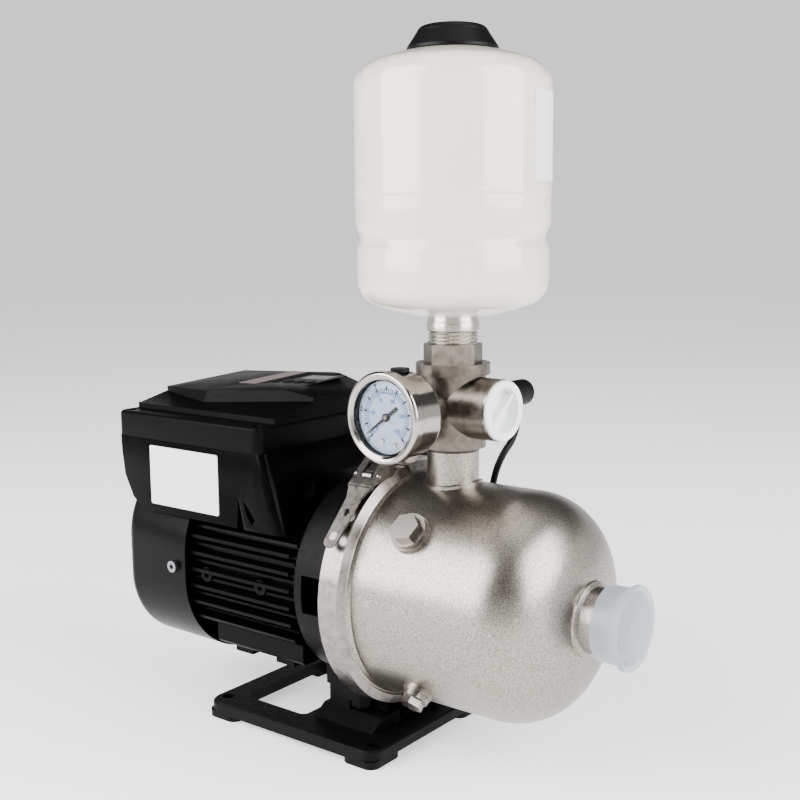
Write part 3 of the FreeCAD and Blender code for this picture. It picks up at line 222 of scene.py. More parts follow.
lamination = new_finish("electrical steel laminations stacked", "#6a6d70", Metallic=1.0, Roughness=0.4)
sheets = add_node(lamination, "ShaderNodeTexWave",
                  {"wave_type": "BANDS", "bands_direction": "X", "Scale": wave_span_mm / sheet_pitch_mm},
                  {"Vector": (own_space(lamination), "Vector")})
two_tones(lamination, sheets, "#5c5f62", "#7b7e81", low=0.2, high=0.8)
copper_coil = new_finish("enamelled copper wire wound", "#8a3f17", Roughness=0.35)
turns = add_node(copper_coil, "ShaderNodeTexWave",
                 {"wave_type": "RINGS", "rings_direction": "X", "Scale": wave_span_mm / wire_pitch_mm},
                 {"Vector": (own_space(copper_coil), "Vector")})
two_tones(copper_coil, turns, "#6c2f10", "#a4521f", low=0.2, high=0.8)
ground_steel = new_finish("carbon steel ground", "#a9abad", Metallic=1.0, Roughness=0.22)
uneven(ground_steel, "Roughness", size_mm=1.2, low=0.18, high=0.3, stretch=(8.0, 1.0, 1.0))
dress("stator_core", lamination)
dress("rotor_core", lamination)
dress("stator_windings", copper_coil)
for node in ("motor_shaft", "bearing_outer_races", "bearing_inner_races"):
    dress(node, ground_steel)

# Controller: case and lid are ABS, injection moulded and screwed together. The case comes from
# a polished mould and is glossy, the lid from a satin one. Long faces sink by hundredths of
# a millimetre as they cool, so reflections wander a little.
case_edge = 0.0009
lid_edge = 0.0012
gloss_abs = new_finish("ABS injection moulded polished", "#030304", Roughness=0.2,
                       Specular_IOR_Level=0.03)
grain(gloss_abs, size_mm=0.6, depth_mm=0.01, strength=0.08)
uneven(gloss_abs, "Roughness", size_mm=14.0, low=0.2, high=0.25)
satin_abs = new_finish("ABS injection moulded satin", "#050506", Roughness=0.36,
                       Specular_IOR_Level=0.04)
grain(satin_abs, size_mm=0.5, depth_mm=0.02, strength=0.2)
uneven(satin_abs, "Roughness", size_mm=14.0, low=0.34, high=0.4)


def softened_copy(node, name, width, material):
    # A copy of a CAD node whose sharp edges get the small radius that the mould gives them.
    bpy.ops.object.select_all(action="DESELECT")
    piece = bpy.data.objects.new(name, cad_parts[node].data.copy())
    bpy.context.scene.collection.objects.link(piece)
    bpy.context.view_layer.objects.active = piece
    piece.select_set(True)
    bpy.ops.object.mode_set(mode="EDIT")
    bpy.ops.mesh.select_all(action="SELECT")
    bpy.ops.mesh.remove_doubles(threshold=0.000004)
    bpy.ops.mesh.dissolve_limited(angle_limit=math.radians(0.6))
    bpy.ops.object.mode_set(mode="OBJECT")
    edge = piece.modifiers.new("edge", "BEVEL")
    edge.width = width
    edge.segments = 3
    edge.limit_method = "ANGLE"
    edge.angle_limit = math.radians(28)
    edge.use_clamp_overlap = True
    edge.miter_outer = "MITER_ARC"
    bpy.ops.object.modifier_apply(modifier="edge")
    bpy.ops.object.shade_smooth_by_angle(angle=math.radians(32))
    piece.data.materials.clear()
    piece.data.materials.append(material)
    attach(piece, "frame")
    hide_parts(node)


softened_copy("controller_case", "case_moulding", case_edge, gloss_abs)
softened_copy("controller_lid", "lid_moulding", lid_edge, satin_abs)

# Cable gland, sensor head and keys: black polyamide, injection moulded in spark eroded moulds.
# Their fine texture scatters the light and hides every reflection.
texture_plastic = new_finish("polyamide moulded fine texture", "#070708", Roughness=0.45,
                             Specular_IOR_Level=0.12)
grain(texture_plastic, size_mm=0.4, depth_mm=0.03, strength=0.35)
for node in ("cable_gland", "sensor_head", "key_start", "key_up", "key_down"):
    dress(node, texture_plastic)

# Console overlays: polyester film, printed from behind and glued down. It is dark round the keys
# and has a bare pale strip beside them, which ends at one place along the console.
pale_strip_end = -0.0795
keypad_film = new_finish("polyester film printed", "#1c1d20", Roughness=0.4,
                         Specular_IOR_Level=0.12)
film_place = add_node(keypad_film, "ShaderNodeTexCoord")
film_axis = add_node(keypad_film, "ShaderNodeSeparateXYZ", {}, {"Vector": (film_place, "Object")})
film_side = add_node(keypad_film, "ShaderNodeMath",
                     {"operation": "LESS_THAN", 1: pale_strip_end}, {0: (film_axis, "X")})
film_tone = add_node(keypad_film, "ShaderNodeMix",
                     {"data_type": "RGBA", 6: linear("#101114"), 7: linear("#6d5f5e")},
                     {"Factor": (film_side, "Value")})
keypad_film.node_tree.links.new(film_tone.outputs[2],
                                keypad_film.node_tree.nodes["Principled BSDF"].inputs["Base Color"])
dress("console_overlays", keypad_film)

# Display window: a pane of smoked acrylic, cut and polished, let into the console over the
# display. It is nearly black and smoother than the film round it.
smoked = new_finish("acrylic smoked polished", "#0a0b0d", Roughness=0.16,
                    Specular_IOR_Level=0.1)
uneven(smoked, "Roughness", size_mm=5.0, low=0.14, high=0.2)
dress("display_window", smoked)

# Labels: bare white polyester film with a satin face, one stuck on the controller's wall and
# one round the tank.
white_film = new_finish("polyester film white", "#e4e5e4", Roughness=0.34)
grain(white_film, size_mm=0.5, depth_mm=0.01, strength=0.15)
dress("rating_label", white_film)
dress("tank_label", white_film)

# Circuit board: glass fibre laminate, cut to size and screwed down in the case. Its green
# lacquer is thicker in some places than in others, so its gloss is uneven.
board_green = new_finish("glass fibre laminate green lacquer", "#1d4a2b", Roughness=0.35)
uneven(board_green, "Roughness", size_mm=2.0, low=0.3, high=0.45)
dress("circuit_board", board_green)

# Pump casing, seal plate, bowls and impellers: stainless sheet, deep drawn and then bead blasted.
# Blasting leaves a silvery grain, and drawing leaves faint clouds. The real grain is finer, and
# is drawn coarser here so that it shows.
blasted = new_finish("stainless steel 304 bead blasted", "#b8b4ad", Metallic=1.0, Roughness=0.36)
beads = grain(blasted, size_mm=0.9, depth_mm=0.07, strength=0.8, detail=6.0)
uneven(blasted, "Roughness", size_mm=30.0, low=0.29, high=0.34, detail=8.0)
two_tones(blasted, beads, "#726c66", "#a7a19a", low=0.38, high=0.62)
for node in ("pump_casing", "seal_plate", "stage_bowls", "impellers"):
    dress(node, blasted)

# Clamp band, lever, link and pins: stainless strip, rolled and stamped, then tumbled. That gives
# a soft sheen with faint clouds, without the blasted barrel's grain.
tumbled = new_finish("stainless steel strip tumbled", "#87827c", Metallic=1.0, Roughness=0.3)
rolled = uneven(tumbled, "Roughness", size_mm=5.0, low=0.26, high=0.34, detail=3.0)
two_tones(tumbled, rolled, "#787370", "#918c86", low=0.3, high=0.7)
for node in ("clamp_band", "clamp_lever", "clamp_link", "clamp_pins"):
    dress(node, tumbled)

# Hex plugs and their bonded washers: stainless bar, turned to its thread and head and lightly
# tumbled. Its flats are smooth and reflect more sharply than the barrel.
turned_bar = new_finish("stainless steel turned bar", "#8f8a84", Metallic=1.0, Roughness=0.24)
uneven(turned_bar, "Roughness", size_mm=8.0, low=0.22, high=0.27, detail=1.0)
for node in ("filling_plug", "drain_plug", "sealing_washers"):
    dress(node, turned_bar)

# Manifold, adapter, gauge stem and sensor body: stainless steel, investment cast and pickled
# grey. The shell's ceramic skin leaves a fine sandy grain, and the acid leaves darker clouds.
cast_steel = new_finish("stainless steel investment cast pickled", "#a5a098", Metallic=1.0,
                        Roughness=0.34)
grain(cast_steel, size_mm=0.8, depth_mm=0.07, strength=0.7, detail=4.0)
stain = uneven(cast_steel, "Roughness", size_mm=7.0, low=0.27, high=0.42)
two_tones(cast_steel, stain, "#544e48", "#756e67", low=0.3, high=0.7)
for node in ("manifold", "tank_adapter", "tank_nipple", "gauge_stem", "sensor_body"):
    dress(node, cast_steel)

# Seal seat: alumina, pressed, fired and lapped flat where the seal's head runs on it. It is
# ivory white with a dull polish.
ceramic = new_finish("alumina ceramic lapped", "#e6e1d4", Roughness=0.25)
uneven(ceramic, "Roughness", size_mm=1.5, low=0.2, high=0.3)
dress("seal_seat", ceramic)

# Soft seals: the seal's head, casing gasket, gauge's vent plug and tank's diaphragm are moulded
# in nitrile rubber, which is a matt black.
soft_rubber = new_finish("nitrile rubber moulded", "#080808", Roughness=0.55,
                         Specular_IOR_Level=0.15)
grain(soft_rubber, size_mm=0.5, depth_mm=0.03, strength=0.3)
for node in ("seal_head", "casing_gasket", "gauge_vent_plug", "tank_diaphragm"):
    dress(node, soft_rubber)

# Gauge case and bezel: stainless strip, spun to shape, rolled together over the lens and
# polished bright. The wheel leaves faint waves in every reflection.
polished = new_finish("stainless steel 304 polished", "#a29d97", Metallic=1.0, Roughness=0.14)
uneven(polished, "Roughness", size_mm=6.0, low=0.12, high=0.18, detail=2.0)
grain(polished, size_mm=6.0, depth_mm=0.02, strength=0.16, detail=2.0)
for node in ("gauge_bezel", "gauge_case"):
    dress(node, polished)

# Gauge dial and needle: stamped from aluminium sheet. The dial has a cool white lacquer with
# a soft sheen, and the needle a black one.
dial_white = new_finish("aluminium dial white lacquer", "#a9b7cc", Roughness=0.4)
uneven(dial_white, "Roughness", size_mm=8.0, low=0.36, high=0.44)
needle_black = new_finish("aluminium black lacquer", "#0b0b0c", Roughness=0.35)
uneven(needle_black, "Roughness", size_mm=3.0, low=0.3, high=0.4)
dress("gauge_dial", dial_white)
dress("gauge_pointer", needle_black)

# Gauge scale: two rings of marks screen printed on the dial, an outer one in black and an inner
# one in blue, each with its numbers. The print is matt and raised only by its own ink.
manifold_middle = Vector((0.095, 0.0, 0.2356))
port_angle = math.radians(-3.5)
dial_right = Vector((math.cos(port_angle), math.sin(port_angle), 0.0))
dial_out = Vector((math.sin(port_angle), -math.cos(port_angle), 0.0))
dial_face = 0.0658
ink_thick = 0.00003
type_spread = 0.00014
long_mark_width = 1.5
scale_start = 225.0
scale_sweep = 270.0


def set_on_dial(piece, distance):
    # Puts a piece modelled about the origin on the dial, and leaves its object at the origin.
    # Local X runs to the right as one reads the dial, Y up, and Z out of its face.
    turn = Matrix((dial_right, Vector((0.0, 0.0, 1.0)), dial_out)).transposed().to_4x4()
    piece.data.transform(Matrix.Translation(manifold_middle + dial_out * distance) @ turn)
    piece.matrix_world = Matrix.Identity(4)
    piece.data.update()


def join_named(pieces, name):
    # Joins finished meshes into one piece.
    bpy.ops.object.select_all(action="DESELECT")
    for piece in pieces:
        piece.select_set(True)
    bpy.context.view_layer.objects.active = pieces[0]
    bpy.ops.object.join()
    joined = bpy.context.object
    joined.name = name
    return joined


def printed_marks(name, ink, count, inner, outer, long_every, long_inner, width):
    # A bar is modelled once for each mark, turned to its angle and joined to the rest.
    bars = []
    for mark in range(count + 1):
        angle = math.radians(scale_start - scale_sweep * mark / count)
        is_long = mark % long_every == 0
        low = long_inner if is_long else inner
        wide = width * (long_mark_width if is_long else 1.0)
        middle = (low + outer) / 2
        bpy.ops.mesh.primitive_cube_add(
            size=1.0, scale=(outer - low, wide, ink_thick), rotation=(0.0, 0.0, angle),
            location=(middle * math.cos(angle), middle * math.sin(angle), ink_thick / 2))
        bpy.ops.object.transform_apply(location=True, rotation=True, scale=True)
        bars.append(bpy.context.object)
    piece = join_named(bars, name)
    bpy.ops.object.mode_set(mode="EDIT")
    bpy.ops.mesh.select_all(action="SELECT")
    bpy.ops.mesh.normals_make_consistent(inside=False)
    bpy.ops.object.mode_set(mode="OBJECT")
    piece.data.materials.append(ink)
    set_on_dial(piece, dial_face)
    return piece


def printed_numbers(name, ink, numbers, reach, tall):
    # Each number is set as type, made a mesh and laid on the dial at its own mark.
    types = []
    for place, number in enumerate(numbers):
        angle = math.radians(scale_start - scale_sweep * place / (len(numbers) - 1))
        bpy.ops.object.text_add(location=(reach * math.cos(angle), reach * math.sin(angle), 0.0))
        sign = bpy.context.object
        sign.data.body = str(number)
        sign.data.align_x = "CENTER"
        sign.data.align_y = "CENTER"
        sign.data.size = tall
        sign.data.extrude = ink_thick / 2
        sign.data.offset = type_spread
        bpy.ops.object.convert(target="MESH")
        bpy.ops.object.transform_apply(location=True, rotation=True, scale=True)
        types.append(bpy.context.object)
    piece = join_named(types, name)
    piece.data.materials.clear()
    piece.data.materials.append(ink)
    set_on_dial(piece, dial_face + ink_thick / 2)
    return piece


black_ink = new_finish("screen ink black", "#08080a", Roughness=0.5)
grain(black_ink, size_mm=0.3, depth_mm=0.005, strength=0.1)
blue_ink = new_finish("screen ink blue", "#0c559f", Roughness=0.5)
grain(blue_ink, size_mm=0.3, depth_mm=0.005, strength=0.1)
bpy.ops.object.select_all(action="DESELECT")
outer_marks = printed_marks("dial_marks_outer", black_ink, count=50, inner=0.0164, outer=0.0183,
                            long_every=10, long_inner=0.0164, width=0.00060)
major_marks = printed_marks("dial_marks_major", black_ink, count=10, inner=0.0164, outer=0.0195,
                            long_every=1, long_inner=0.0164, width=0.00090)
inner_marks = printed_marks("dial_marks_inner", blue_ink, count=75, inner=0.0144, outer=0.0162,
                            long_every=15, long_inner=0.0132, width=0.00044)
outer_numbers = printed_numbers("dial_numbers_outer", black_ink, (0, 2, 4, 6, 8, 10),
                                reach=0.0214, tall=0.0042)
inner_numbers = printed_numbers("dial_numbers_inner", blue_ink, (0, 30, 60, 90, 120, 150),
                                reach=0.0114, tall=0.0036)
for piece, slot_name in ((outer_marks, "needle_black"), (major_marks, "needle_black"),
                         (inner_marks, "dial_paint"), (outer_numbers, "needle_black"),
                         (inner_numbers, "dial_paint")):
    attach(piece, "frame")

# Dial screws: two small cheese head screws in bright stainless steel, turned and polished. They
# hold the dial to the movement behind it, and the sunk middle of each head catches the light.
screw_radius = 0.0016
screw_tall = 0.0005
screw_chamfer = 0.0001
screw_rim = 0.00055
screw_sink = 0.0002
screw_places = ((-0.0033, -0.0149), (0.0069, -0.0165))
dial_screws = []
for across, up in screw_places:
    bpy.ops.mesh.primitive_cylinder_add(vertices=28, radius=screw_radius, depth=screw_tall,
                                        location=(across, up, screw_tall / 2))
    bpy.ops.object.transform_apply(location=True, rotation=True, scale=True)
    dial_screw = bpy.context.object
    bpy.ops.object.mode_set(mode="EDIT")
    bpy.ops.mesh.select_all(action="DESELECT")
    bpy.ops.object.mode_set(mode="OBJECT")
    for face in dial_screw.data.polygons:
        face.select = face.normal.z > 0.9
    bpy.ops.object.mode_set(mode="EDIT")
    bpy.ops.mesh.inset(thickness=screw_chamfer)
    bpy.ops.mesh.inset(thickness=screw_rim)
    bpy.ops.transform.translate(value=(0.0, 0.0, -screw_sink))
    bpy.ops.object.mode_set(mode="OBJECT")
    dial_screws.append(dial_screw)
dial_screw_pair = join_named(dial_screws, "dial_screws")
dial_screw_pair.data.materials.append(polished)
set_on_dial(dial_screw_pair, dial_face)
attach(dial_screw_pair, "frame")

# Dial rim shade: a thin flattened black ring round the dial's edge, in the black rubber finish.
# It is painted shade, standing for the shaded wall where the dial sits sunk in the case.
seal_ring_radius = 0.02335
seal_ring_thick = 0.0006
seal_ring_stretch = 2.4
seal_ring_middle = 0.0673
bpy.ops.mesh.primitive_torus_add(major_radius=seal_ring_radius, minor_radius=seal_ring_thick,
                                 major_segments=96, minor_segments=12, location=(0.0, 0.0, 0.0))
dial_ring = bpy.context.object
dial_ring.name = "gauge_rim_painted_shade"
bpy.ops.object.mode_set(mode="EDIT")
bpy.ops.mesh.select_all(action="SELECT")
bpy.ops.transform.resize(value=(1.0, 1.0, seal_ring_stretch), center_override=(0.0, 0.0, 0.0))
bpy.ops.object.mode_set(mode="OBJECT")
bpy.ops.object.shade_smooth()
# The black rubber finish here only paints the shade of the dial's sunk rim.
dial_ring.data.materials.append(soft_rubber)
set_on_dial(dial_ring, seal_ring_middle)
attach(dial_ring, "frame")

# Needle boss: the turned brass end of the movement's spindle, staked over in the needle's hub.
# It turns with the needle and shows as a dull yellow dot.
boss_radius = 0.0013
boss_tall = 0.0003
boss_middle = 0.0675
needle_brass = new_finish("brass staked", "#8d8577", Metallic=1.0, Roughness=0.3)
grain(needle_brass, size_mm=0.4, depth_mm=0.01, strength=0.2)
bpy.ops.mesh.primitive_cylinder_add(vertices=36, radius=boss_radius, depth=boss_tall,
                                    location=(0.0, 0.0, 0.0))
needle_boss = bpy.context.object
needle_boss.name = "needle_spindle_end"
needle_boss.data.materials.append(needle_brass)
set_on_dial(needle_boss, boss_middle)
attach(needle_boss, "needle")

# Gauge filling: clear glycerine that damps the needle. It is poured in until it stops a little
# short of the top, and only cools the dial's colour slightly.
fill_level = 0.0155
fill_front = 0.0689
fill_deep = 0.0009
fill_radius = 0.0257
glycerine = new_finish("glycerine clear", "#0d1a26", Roughness=0.05, Alpha=0.05, IOR=1.47)
bpy.ops.mesh.primitive_cylinder_add(vertices=96, radius=fill_radius, depth=fill_deep,
                                    location=(0.0, 0.0, -fill_deep / 2))
filling = bpy.context.object
filling.name = "gauge_filling"
bpy.ops.object.transform_apply(location=True, rotation=True, scale=True)
bpy.ops.object.mode_set(mode="EDIT")
bpy.ops.mesh.select_all(action="SELECT")
bpy.ops.mesh.bisect(plane_co=(0.0, fill_level, 0.0), plane_no=(0.0, 1.0, 0.0), use_fill=True,
                    clear_outer=True)
bpy.ops.object.mode_set(mode="OBJECT")
filling.data.materials.append(glycerine)
set_on_dial(filling, fill_front)
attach(filling, "frame")

# Filling's surface: the glycerine's top with the air bubble above it. It is seen edge-on through
# the lens and shows as one dark line across the dial. That line is painted shade: a thin bluish
# grey bar laid at the filling's level, since the glycerine itself is clear.
fill_line_long = 0.0402
fill_line_tall = 0.00032
fill_line_deep = 0.0003
fill_line_out = 0.00016
fill_line_seat = 0.0662
# Its bluish grey is painted shade, not a colour of the glycerine.
line_ink = new_finish("glycerine surface painted shade", "#4c6178", Roughness=0.2)
uneven(line_ink, "Roughness", size_mm=2.0, low=0.15, high=0.25)
bpy.ops.mesh.primitive_cube_add(size=1.0, scale=(fill_line_long, fill_line_tall, fill_line_deep),
                                location=(0.0, fill_level, fill_line_out))
surface_line = bpy.context.object
surface_line.name = "gauge_filling_surface_painted_shade"
bpy.ops.object.transform_apply(location=True, rotation=True, scale=True)
surface_line.data.materials.append(line_ink)
set_on_dial(surface_line, fill_line_seat)
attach(surface_line, "frame")

# Gauge lens: a pane of acrylic, cut from clear sheet, polished and held under the bezel. It
# shows the dial unchanged and adds a faint gloss.
lens_clear = new_finish("acrylic clear polished", "#10151a", Roughness=0.03, Alpha=0.05, IOR=1.49)
dress("gauge_lens", lens_clear)

# Tank shell: two drawn steel halves, the upper slipped over the lower and welded behind a rolled
# bead, then dipped and baked in cream enamel. The enamel is thick, wet-looking and very slightly
# wavy. Its outline is drawn from the valve's hole at the top down to the mouth.
tank_axis = Vector((0.095, 0.0, 0.0))
tank_radius = 0.063
tank_bowl_radius = 0.062
tank_knuckle = 0.017
tank_crown = 0.150
tank_shoulder = 0.4385
tank_bowl = 0.318
tank_mouth = 0.0166
tank_valve_hole = 0.0046
tank_wall = 0.0012
knuckle_steps = 12
crown_steps = 14
turned_smooth = math.radians(30.0)


def dome_line(radius, level, way, stop):
    # A tank end drawn from its upright wall to the stop radius: knuckle first, then crown.
    lean = math.asin((radius - tank_knuckle) / (tank_crown - tank_knuckle))
    centre = level - way * (tank_crown - tank_knuckle) * math.cos(lean)
    line = []
    for step in range(knuckle_steps + 1):
        turn = math.pi / 2 + (lean - math.pi / 2) * step / knuckle_steps
        line.append((radius - tank_knuckle + tank_knuckle * math.sin(turn),
                     level + way * tank_knuckle * math.cos(turn)))
    low = math.asin(stop / tank_crown)
    for step in range(1, crown_steps + 1):
        turn = lean + (low - lean) * step / crown_steps
        line.append((tank_crown * math.sin(turn), centre + way * tank_crown * math.cos(turn)))
    return line


def turned_piece(name, line, centre, axis, material, steps=128):
    # One vertex is drawn out along the half section, which is then spun round its axis. The line
    # holds pairs of a distance from the axis and a place along it, in metres.
    axis = Vector(axis)
    side = Vector((1.0, 0.0, 0.0)) if abs(axis.x) < 0.9 else Vector((0.0, 0.0, 1.0))
    spots = [centre + side * out + axis * along for out, along in line]
    bpy.ops.object.select_all(action="DESELECT")
    bpy.ops.mesh.primitive_plane_add(size=0.002, location=(0.0, 0.0, 0.0))
    piece = bpy.context.object
    piece.name = name
    bpy.ops.object.mode_set(mode="EDIT")
    bpy.ops.mesh.select_all(action="SELECT")
    bpy.ops.mesh.merge(type="CENTER")
    bpy.ops.transform.translate(value=spots[0])
    for before, after in zip(spots, spots[1:]):
        bpy.ops.mesh.extrude_region_move(TRANSFORM_OT_translate={"value": after - before})
    bpy.ops.mesh.select_all(action="SELECT")
    bpy.ops.mesh.spin(steps=steps, angle=math.tau, center=centre, axis=axis)
    bpy.ops.mesh.select_all(action="SELECT")
    bpy.ops.mesh.remove_doubles(threshold=0.000002)
    bpy.ops.mesh.normals_make_consistent(inside=False)
    bpy.ops.object.mode_set(mode="OBJECT")
    bpy.ops.object.shade_smooth_by_angle(angle=turned_smooth)
    piece.data.materials.append(material)
    return piece


cream = new_finish("drawn steel cream enamel", "#ddd5c8", Roughness=0.24, Coat_Weight=0.8,
                   Coat_Roughness=0.05)
grain(cream, size_mm=9.0, depth_mm=0.05, strength=0.12, detail=1.0)
bead_line = [(0.063, 0.3752), (0.0632, 0.3744), (0.0635, 0.3736), (0.06355, 0.3726),
             (0.0635, 0.3716), (0.0632, 0.3708), (0.0629, 0.3704), (0.0629, 0.3545),
             (0.0627, 0.3530), (0.0621, 0.3512), (0.0612, 0.3490), (0.0603, 0.3472),
             (0.0599, 0.3458), (0.0598, 0.3442), (0.0599, 0.3428), (0.0604, 0.3414),
             (0.0612, 0.3398), (0.0618, 0.3386), (0.0620, 0.3372)]
top_line = dome_line(tank_radius, tank_shoulder, 1, tank_valve_hole)
bowl_line = dome_line(tank_bowl_radius, tank_bowl, -1, tank_mouth)
mouth_inside = bowl_line[-1][1] + tank_wall
shell_line = list(reversed(top_line)) + bead_line + bowl_line
shell_line += [(tank_mouth, mouth_inside), (tank_valve_hole, mouth_inside)]
shell_line += [(tank_valve_hole, top_line[-1][1])]
tank_piece = turned_piece("tank_shell_enamelled", shell_line, tank_axis, (0, 0, 1), cream, steps=160)
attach(tank_piece, "frame")
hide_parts("tank_shell")

# Tank neck: a steel nipple, turned and welded under the tank, with a one inch pipe thread that
# runs into the adapter. Turning leaves fine rings, so the collar's gloss is drawn out along
# them, and the thread's crests are bright.
thread_pitch = 0.002309
thread_crest = 0.0166
thread_root = 0.0152
thread_sink = 0.0002
thread_flank = 0.00095
thread_flat = 0.0003
thread_low = 0.2685
thread_turns = 7
neck_steel = new_finish("stainless steel turned", "#bdb8b0", Metallic=1.0, Roughness=0.24)
uneven(neck_steel, "Roughness", size_mm=2.0, low=0.18, high=0.32, stretch=(1.0, 1.0, 6.0))
collar_line = [(0.0115, 0.2672), (thread_root, 0.2672), (thread_root, 0.2850), (0.0168, 0.2850),
               (0.01725, 0.2855), (0.01725, 0.2893), (0.0170, 0.2908), (0.0164, 0.2924),
               (0.0164, 0.2954), (0.0115, 0.2954), (0.0115, 0.2672)]
neck = turned_piece("tank_neck_collar", collar_line, tank_axis, (0, 0, 1), neck_steel, steps=96)
bpy.ops.object.select_all(action="DESELECT")
bpy.ops.mesh.primitive_plane_add(size=0.002, location=(0.0, 0.0, 0.0))
thread = bpy.context.object
thread.name = "tank_neck_thread"
bpy.ops.object.mode_set(mode="EDIT")
bpy.ops.mesh.select_all(action="SELECT")
bpy.ops.mesh.merge(type="CENTER")
bpy.ops.transform.translate(value=(thread_root - thread_sink, 0.0, 0.0))
for out, rise in ((thread_sink, 0.0), (thread_crest - thread_root, thread_flank), (0.0, thread_flat),
                  (thread_root - thread_crest, thread_flank), (-thread_sink, 0.0)):
    bpy.ops.mesh.extrude_region_move(TRANSFORM_OT_translate={"value": (out, 0.0, rise)})
bpy.ops.object.mode_set(mode="OBJECT")
winding = thread.modifiers.new("winding", "SCREW")
winding.axis = "Z"
winding.angle = math.tau
winding.screw_offset = thread_pitch
winding.iterations = thread_turns
winding.steps = 64
winding.render_steps = 64
winding.use_merge_vertices = False
bpy.ops.object.modifier_apply(modifier="winding")
thread.location = (tank_axis.x, 0.0, thread_low)
bpy.ops.object.transform_apply(location=True, rotation=False, scale=False)
bpy.ops.object.mode_set(mode="EDIT")
bpy.ops.mesh.select_all(action="SELECT")
bpy.ops.mesh.remove_doubles(threshold=0.000005)
bpy.ops.mesh.normals_make_consistent(inside=False)
bpy.ops.object.mode_set(mode="OBJECT")
bpy.ops.object.shade_smooth_by_angle(angle=turned_smooth)
thread.data.materials.append(neck_steel)
for piece in (neck, thread):
    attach(piece, "frame")
    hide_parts("tank_nipple")

# Tank cap: polypropylene, injection moulded with a fine matt skin, and pushed over the valve on
# top of the tank.
cap_plastic = new_finish("polypropylene moulded matt black", "#070708", Roughness=0.42,
                         Specular_IOR_Level=0.12)
grain(cap_plastic, size_mm=0.5, depth_mm=0.03, strength=0.3)
dress("tank_cap", cap_plastic)

# Air valve: brass bar, turned and screwed into the top of the tank under the cap. The tool
# leaves it bright yellow and a little uneven.
brass = new_finish("brass turned", "#b08d4a", Metallic=1.0, Roughness=0.25)
uneven(brass, "Roughness", size_mm=0.8, low=0.2, high=0.32)
dress("air_valve", brass)

# Inlet cap: soft polyethylene, injection moulded thin and pushed over the inlet's thread. Its
# rim is rolled and its end is sunk, with a raised gate mark in the middle. It is milky, and
# light goes some way into it.
shaft_axis = Vector((0.0, 0.0, 0.110))
milky = new_finish("polyethylene moulded translucent", "#cbd3d8", Roughness=0.34,
                   Transmission_Weight=0.7, IOR=1.2)
grain(milky, size_mm=4.0, depth_mm=0.05, strength=0.25)
cap_line = [(0.0219, 0.2106), (0.0236, 0.2105), (0.0239, 0.2160), (0.0242, 0.2256),
            (0.0250, 0.2259), (0.0262, 0.2262), (0.0266, 0.2268), (0.02665, 0.2285),
            (0.0264, 0.2291), (0.0259, 0.22945), (0.0252, 0.2295), (0.0237, 0.22945),
            (0.0229, 0.2291), (0.0224, 0.2283), (0.0219, 0.2260), (0.0214, 0.2247),
            (0.0208, 0.2243), (0.0150, 0.2241), (0.0148, 0.2244), (0.0143, 0.2244),
            (0.0141, 0.2241), (0.0020, 0.2240), (0.0018, 0.2244), (0.0, 0.2245), (0.0, 0.22225),
            (0.0202, 0.22225), (0.02178, 0.2214), (0.0219, 0.2106)]
inlet_cover = turned_piece("inlet_cap_moulded", cap_line, shaft_axis, (1, 0, 0), milky, steps=96)
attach(inlet_cover, "inlet_cover")
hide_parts("inlet_cap")

# Outlet plug: white polyethylene, moulded as a shallow cup with a web to grip it by, and pushed
# into the manifold's outlet. It is waxy, with soft shadows.
white_wax = new_finish("polyethylene moulded white", "#eef0f1", Roughness=0.36, Subsurface_Weight=0.2,
                       Subsurface_Scale=0.003)
grain(white_wax, size_mm=2.0, depth_mm=0.03, strength=0.2)
dress("outlet_plug", white_wax)

# Weld bead: the inlet's stub is welded to the barrel by hand with filler wire, which freezes in
# overlapping scales. The ring's sections swell and shrink in turn, as the puddle's scales do.
bead_place = Vector((0.1915, 0.0, 0.110))
bead_ring = 0.0220
bead_thick = 0.0014
bead_scales = 44
bead_swell = 0.16
bead_drift = 0.06
bead_metal = new_finish("stainless steel weld bead", "#a79f93", Metallic=1.0, Roughness=0.3)
grain(bead_metal, size_mm=0.9, depth_mm=0.08, strength=0.5)
bpy.ops.object.select_all(action="DESELECT")
bpy.ops.mesh.primitive_torus_add(major_radius=bead_ring, minor_radius=bead_thick,
                                 major_segments=bead_scales * 3, minor_segments=14)
bead = bpy.context.object
bead.name = "weld_bead_inlet"
for vertex in bead.data.vertices:
    around = math.atan2(vertex.co.y, vertex.co.x)
    spot = Vector((math.cos(around), math.sin(around), 0.0)) * bead_ring
    swell = 1.0 + bead_swell * math.sin(around * bead_scales) + bead_drift * math.sin(around * 5.0)
    vertex.co = spot + (vertex.co - spot) * swell
bead.data.transform(Matrix.Translation(bead_place) @ Matrix.Rotation(math.pi / 2, 4, "Y"))
bpy.ops.object.shade_smooth_by_angle(angle=math.radians(40))
bead.data.materials.append(bead_metal)
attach(bead, "frame")

# Gap under the manifold: a thin ring of dull dark brown round the stub, under the manifold's
# rounded foot. It is painted shade, standing for the shadow in the recessed gap there.
# Its dark brown is painted shade for the gap under the manifold.
sealant = new_finish("painted shade in manifold gap", "#1d1813", Roughness=0.5)
grain(sealant, size_mm=1.2, depth_mm=0.05, strength=0.4)
joint_line = [(0.01727, 0.2060), (0.01742, 0.2062), (0.01752, 0.2068), (0.01752, 0.2078),
              (0.01742, 0.2083), (0.01727, 0.20845)]
joint_ring = turned_piece("manifold_gap_painted_shade", joint_line, tank_axis, (0, 0, 1), sealant)
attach(joint_ring, "frame")

# Studio floor: a wide sheet of matt white acrylic, faintly lit from below. It lies just under
# the feet.
floor_wide = 80.0
floor_drop = 0.0002
paper = new_finish("studio acrylic white backlit", "#f6f6f5", Roughness=0.9,
                   Emission_Color=linear("#ffffff"), Emission_Strength=0.8)
bpy.ops.object.select_all(action="DESELECT")
bpy.ops.mesh.primitive_plane_add(size=floor_wide, location=(0.0, 0.0, -floor_drop))
floor = bpy.context.object
floor.name = "studio_floor"
floor.data.materials.append(paper)

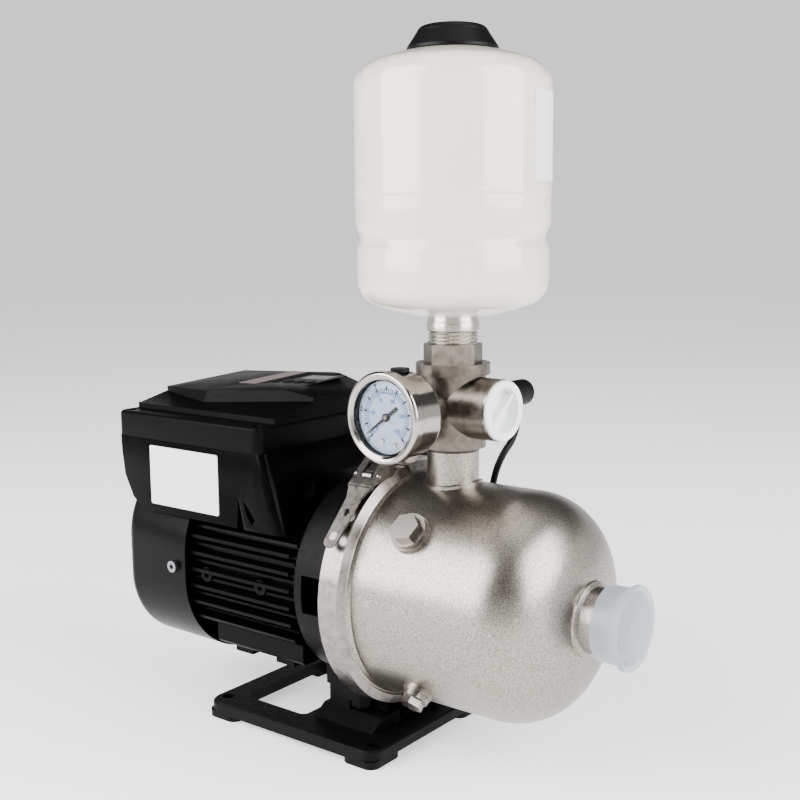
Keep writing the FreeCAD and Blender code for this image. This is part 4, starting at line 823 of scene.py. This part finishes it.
# Studio room: pale round the horizon and straight above, and dark between, so that metal and
# gloss get dark sides. Each level is a grey at a height, from the horizon and all below it at 0
# to straight up at 1.
room_power = 3.0
room_levels = ((0.0, 0.36), (0.2, 0.36), (0.3, 0.025), (0.8, 0.025), (0.9, 0.22), (1.0, 0.22))
world = bpy.data.worlds.new("studio_room")
bpy.context.scene.world = world
world.use_nodes = True
room = world.node_tree.nodes["Background"]
room.inputs["Strength"].default_value = room_power
room_way = world.node_tree.nodes.new("ShaderNodeTexCoord")
room_axis = world.node_tree.nodes.new("ShaderNodeSeparateXYZ")
room_ramp = world.node_tree.nodes.new("ShaderNodeValToRGB")
world.node_tree.links.new(room_way.outputs["Generated"], room_axis.inputs["Vector"])
world.node_tree.links.new(room_axis.outputs["Z"], room_ramp.inputs["Fac"])
world.node_tree.links.new(room_ramp.outputs["Color"], room.inputs["Color"])
room_stops = room_ramp.color_ramp.elements
for height, level in room_levels[1:-1]:
    room_stops.new(height)
for stop, (height, level) in zip(room_stops, room_levels):
    stop.color = (level, level, level, 1.0)

# Studio light: two large soft boxes, left and right of the camera, draw the long highlights on
# the tank and the barrel, and a weak one hangs above. Sizes are in metres and powers in watts.
tank_top = (0.095, 0.0, 0.45)
barrel_top = (0.05, 0.0, 0.2)


def soft_box(name, place, aim, width, height, power):
    # A rectangular light at a place, turned to face a point.
    data = bpy.data.lights.new(name, "AREA")
    data.shape = "RECTANGLE"
    data.size = width
    data.size_y = height
    data.energy = power
    lamp = bpy.data.objects.new(name, data)
    bpy.context.scene.collection.objects.link(lamp)
    way = Vector(aim) - Vector(place)
    lamp.matrix_world = Matrix.Translation(place) @ way.to_track_quat("-Z", "Y").to_matrix().to_4x4()


soft_box("soft_box_left", (-0.585, -1.34, 1.0), tank_top, width=1.5, height=1.5, power=84.0)
soft_box("soft_box_right", (1.585, 0.17, 1.0), tank_top, width=1.5, height=1.5, power=76.0)
soft_box("soft_box_top", (0.3, 0.1, 1.7), barrel_top, width=1.0, height=0.8, power=4.0)
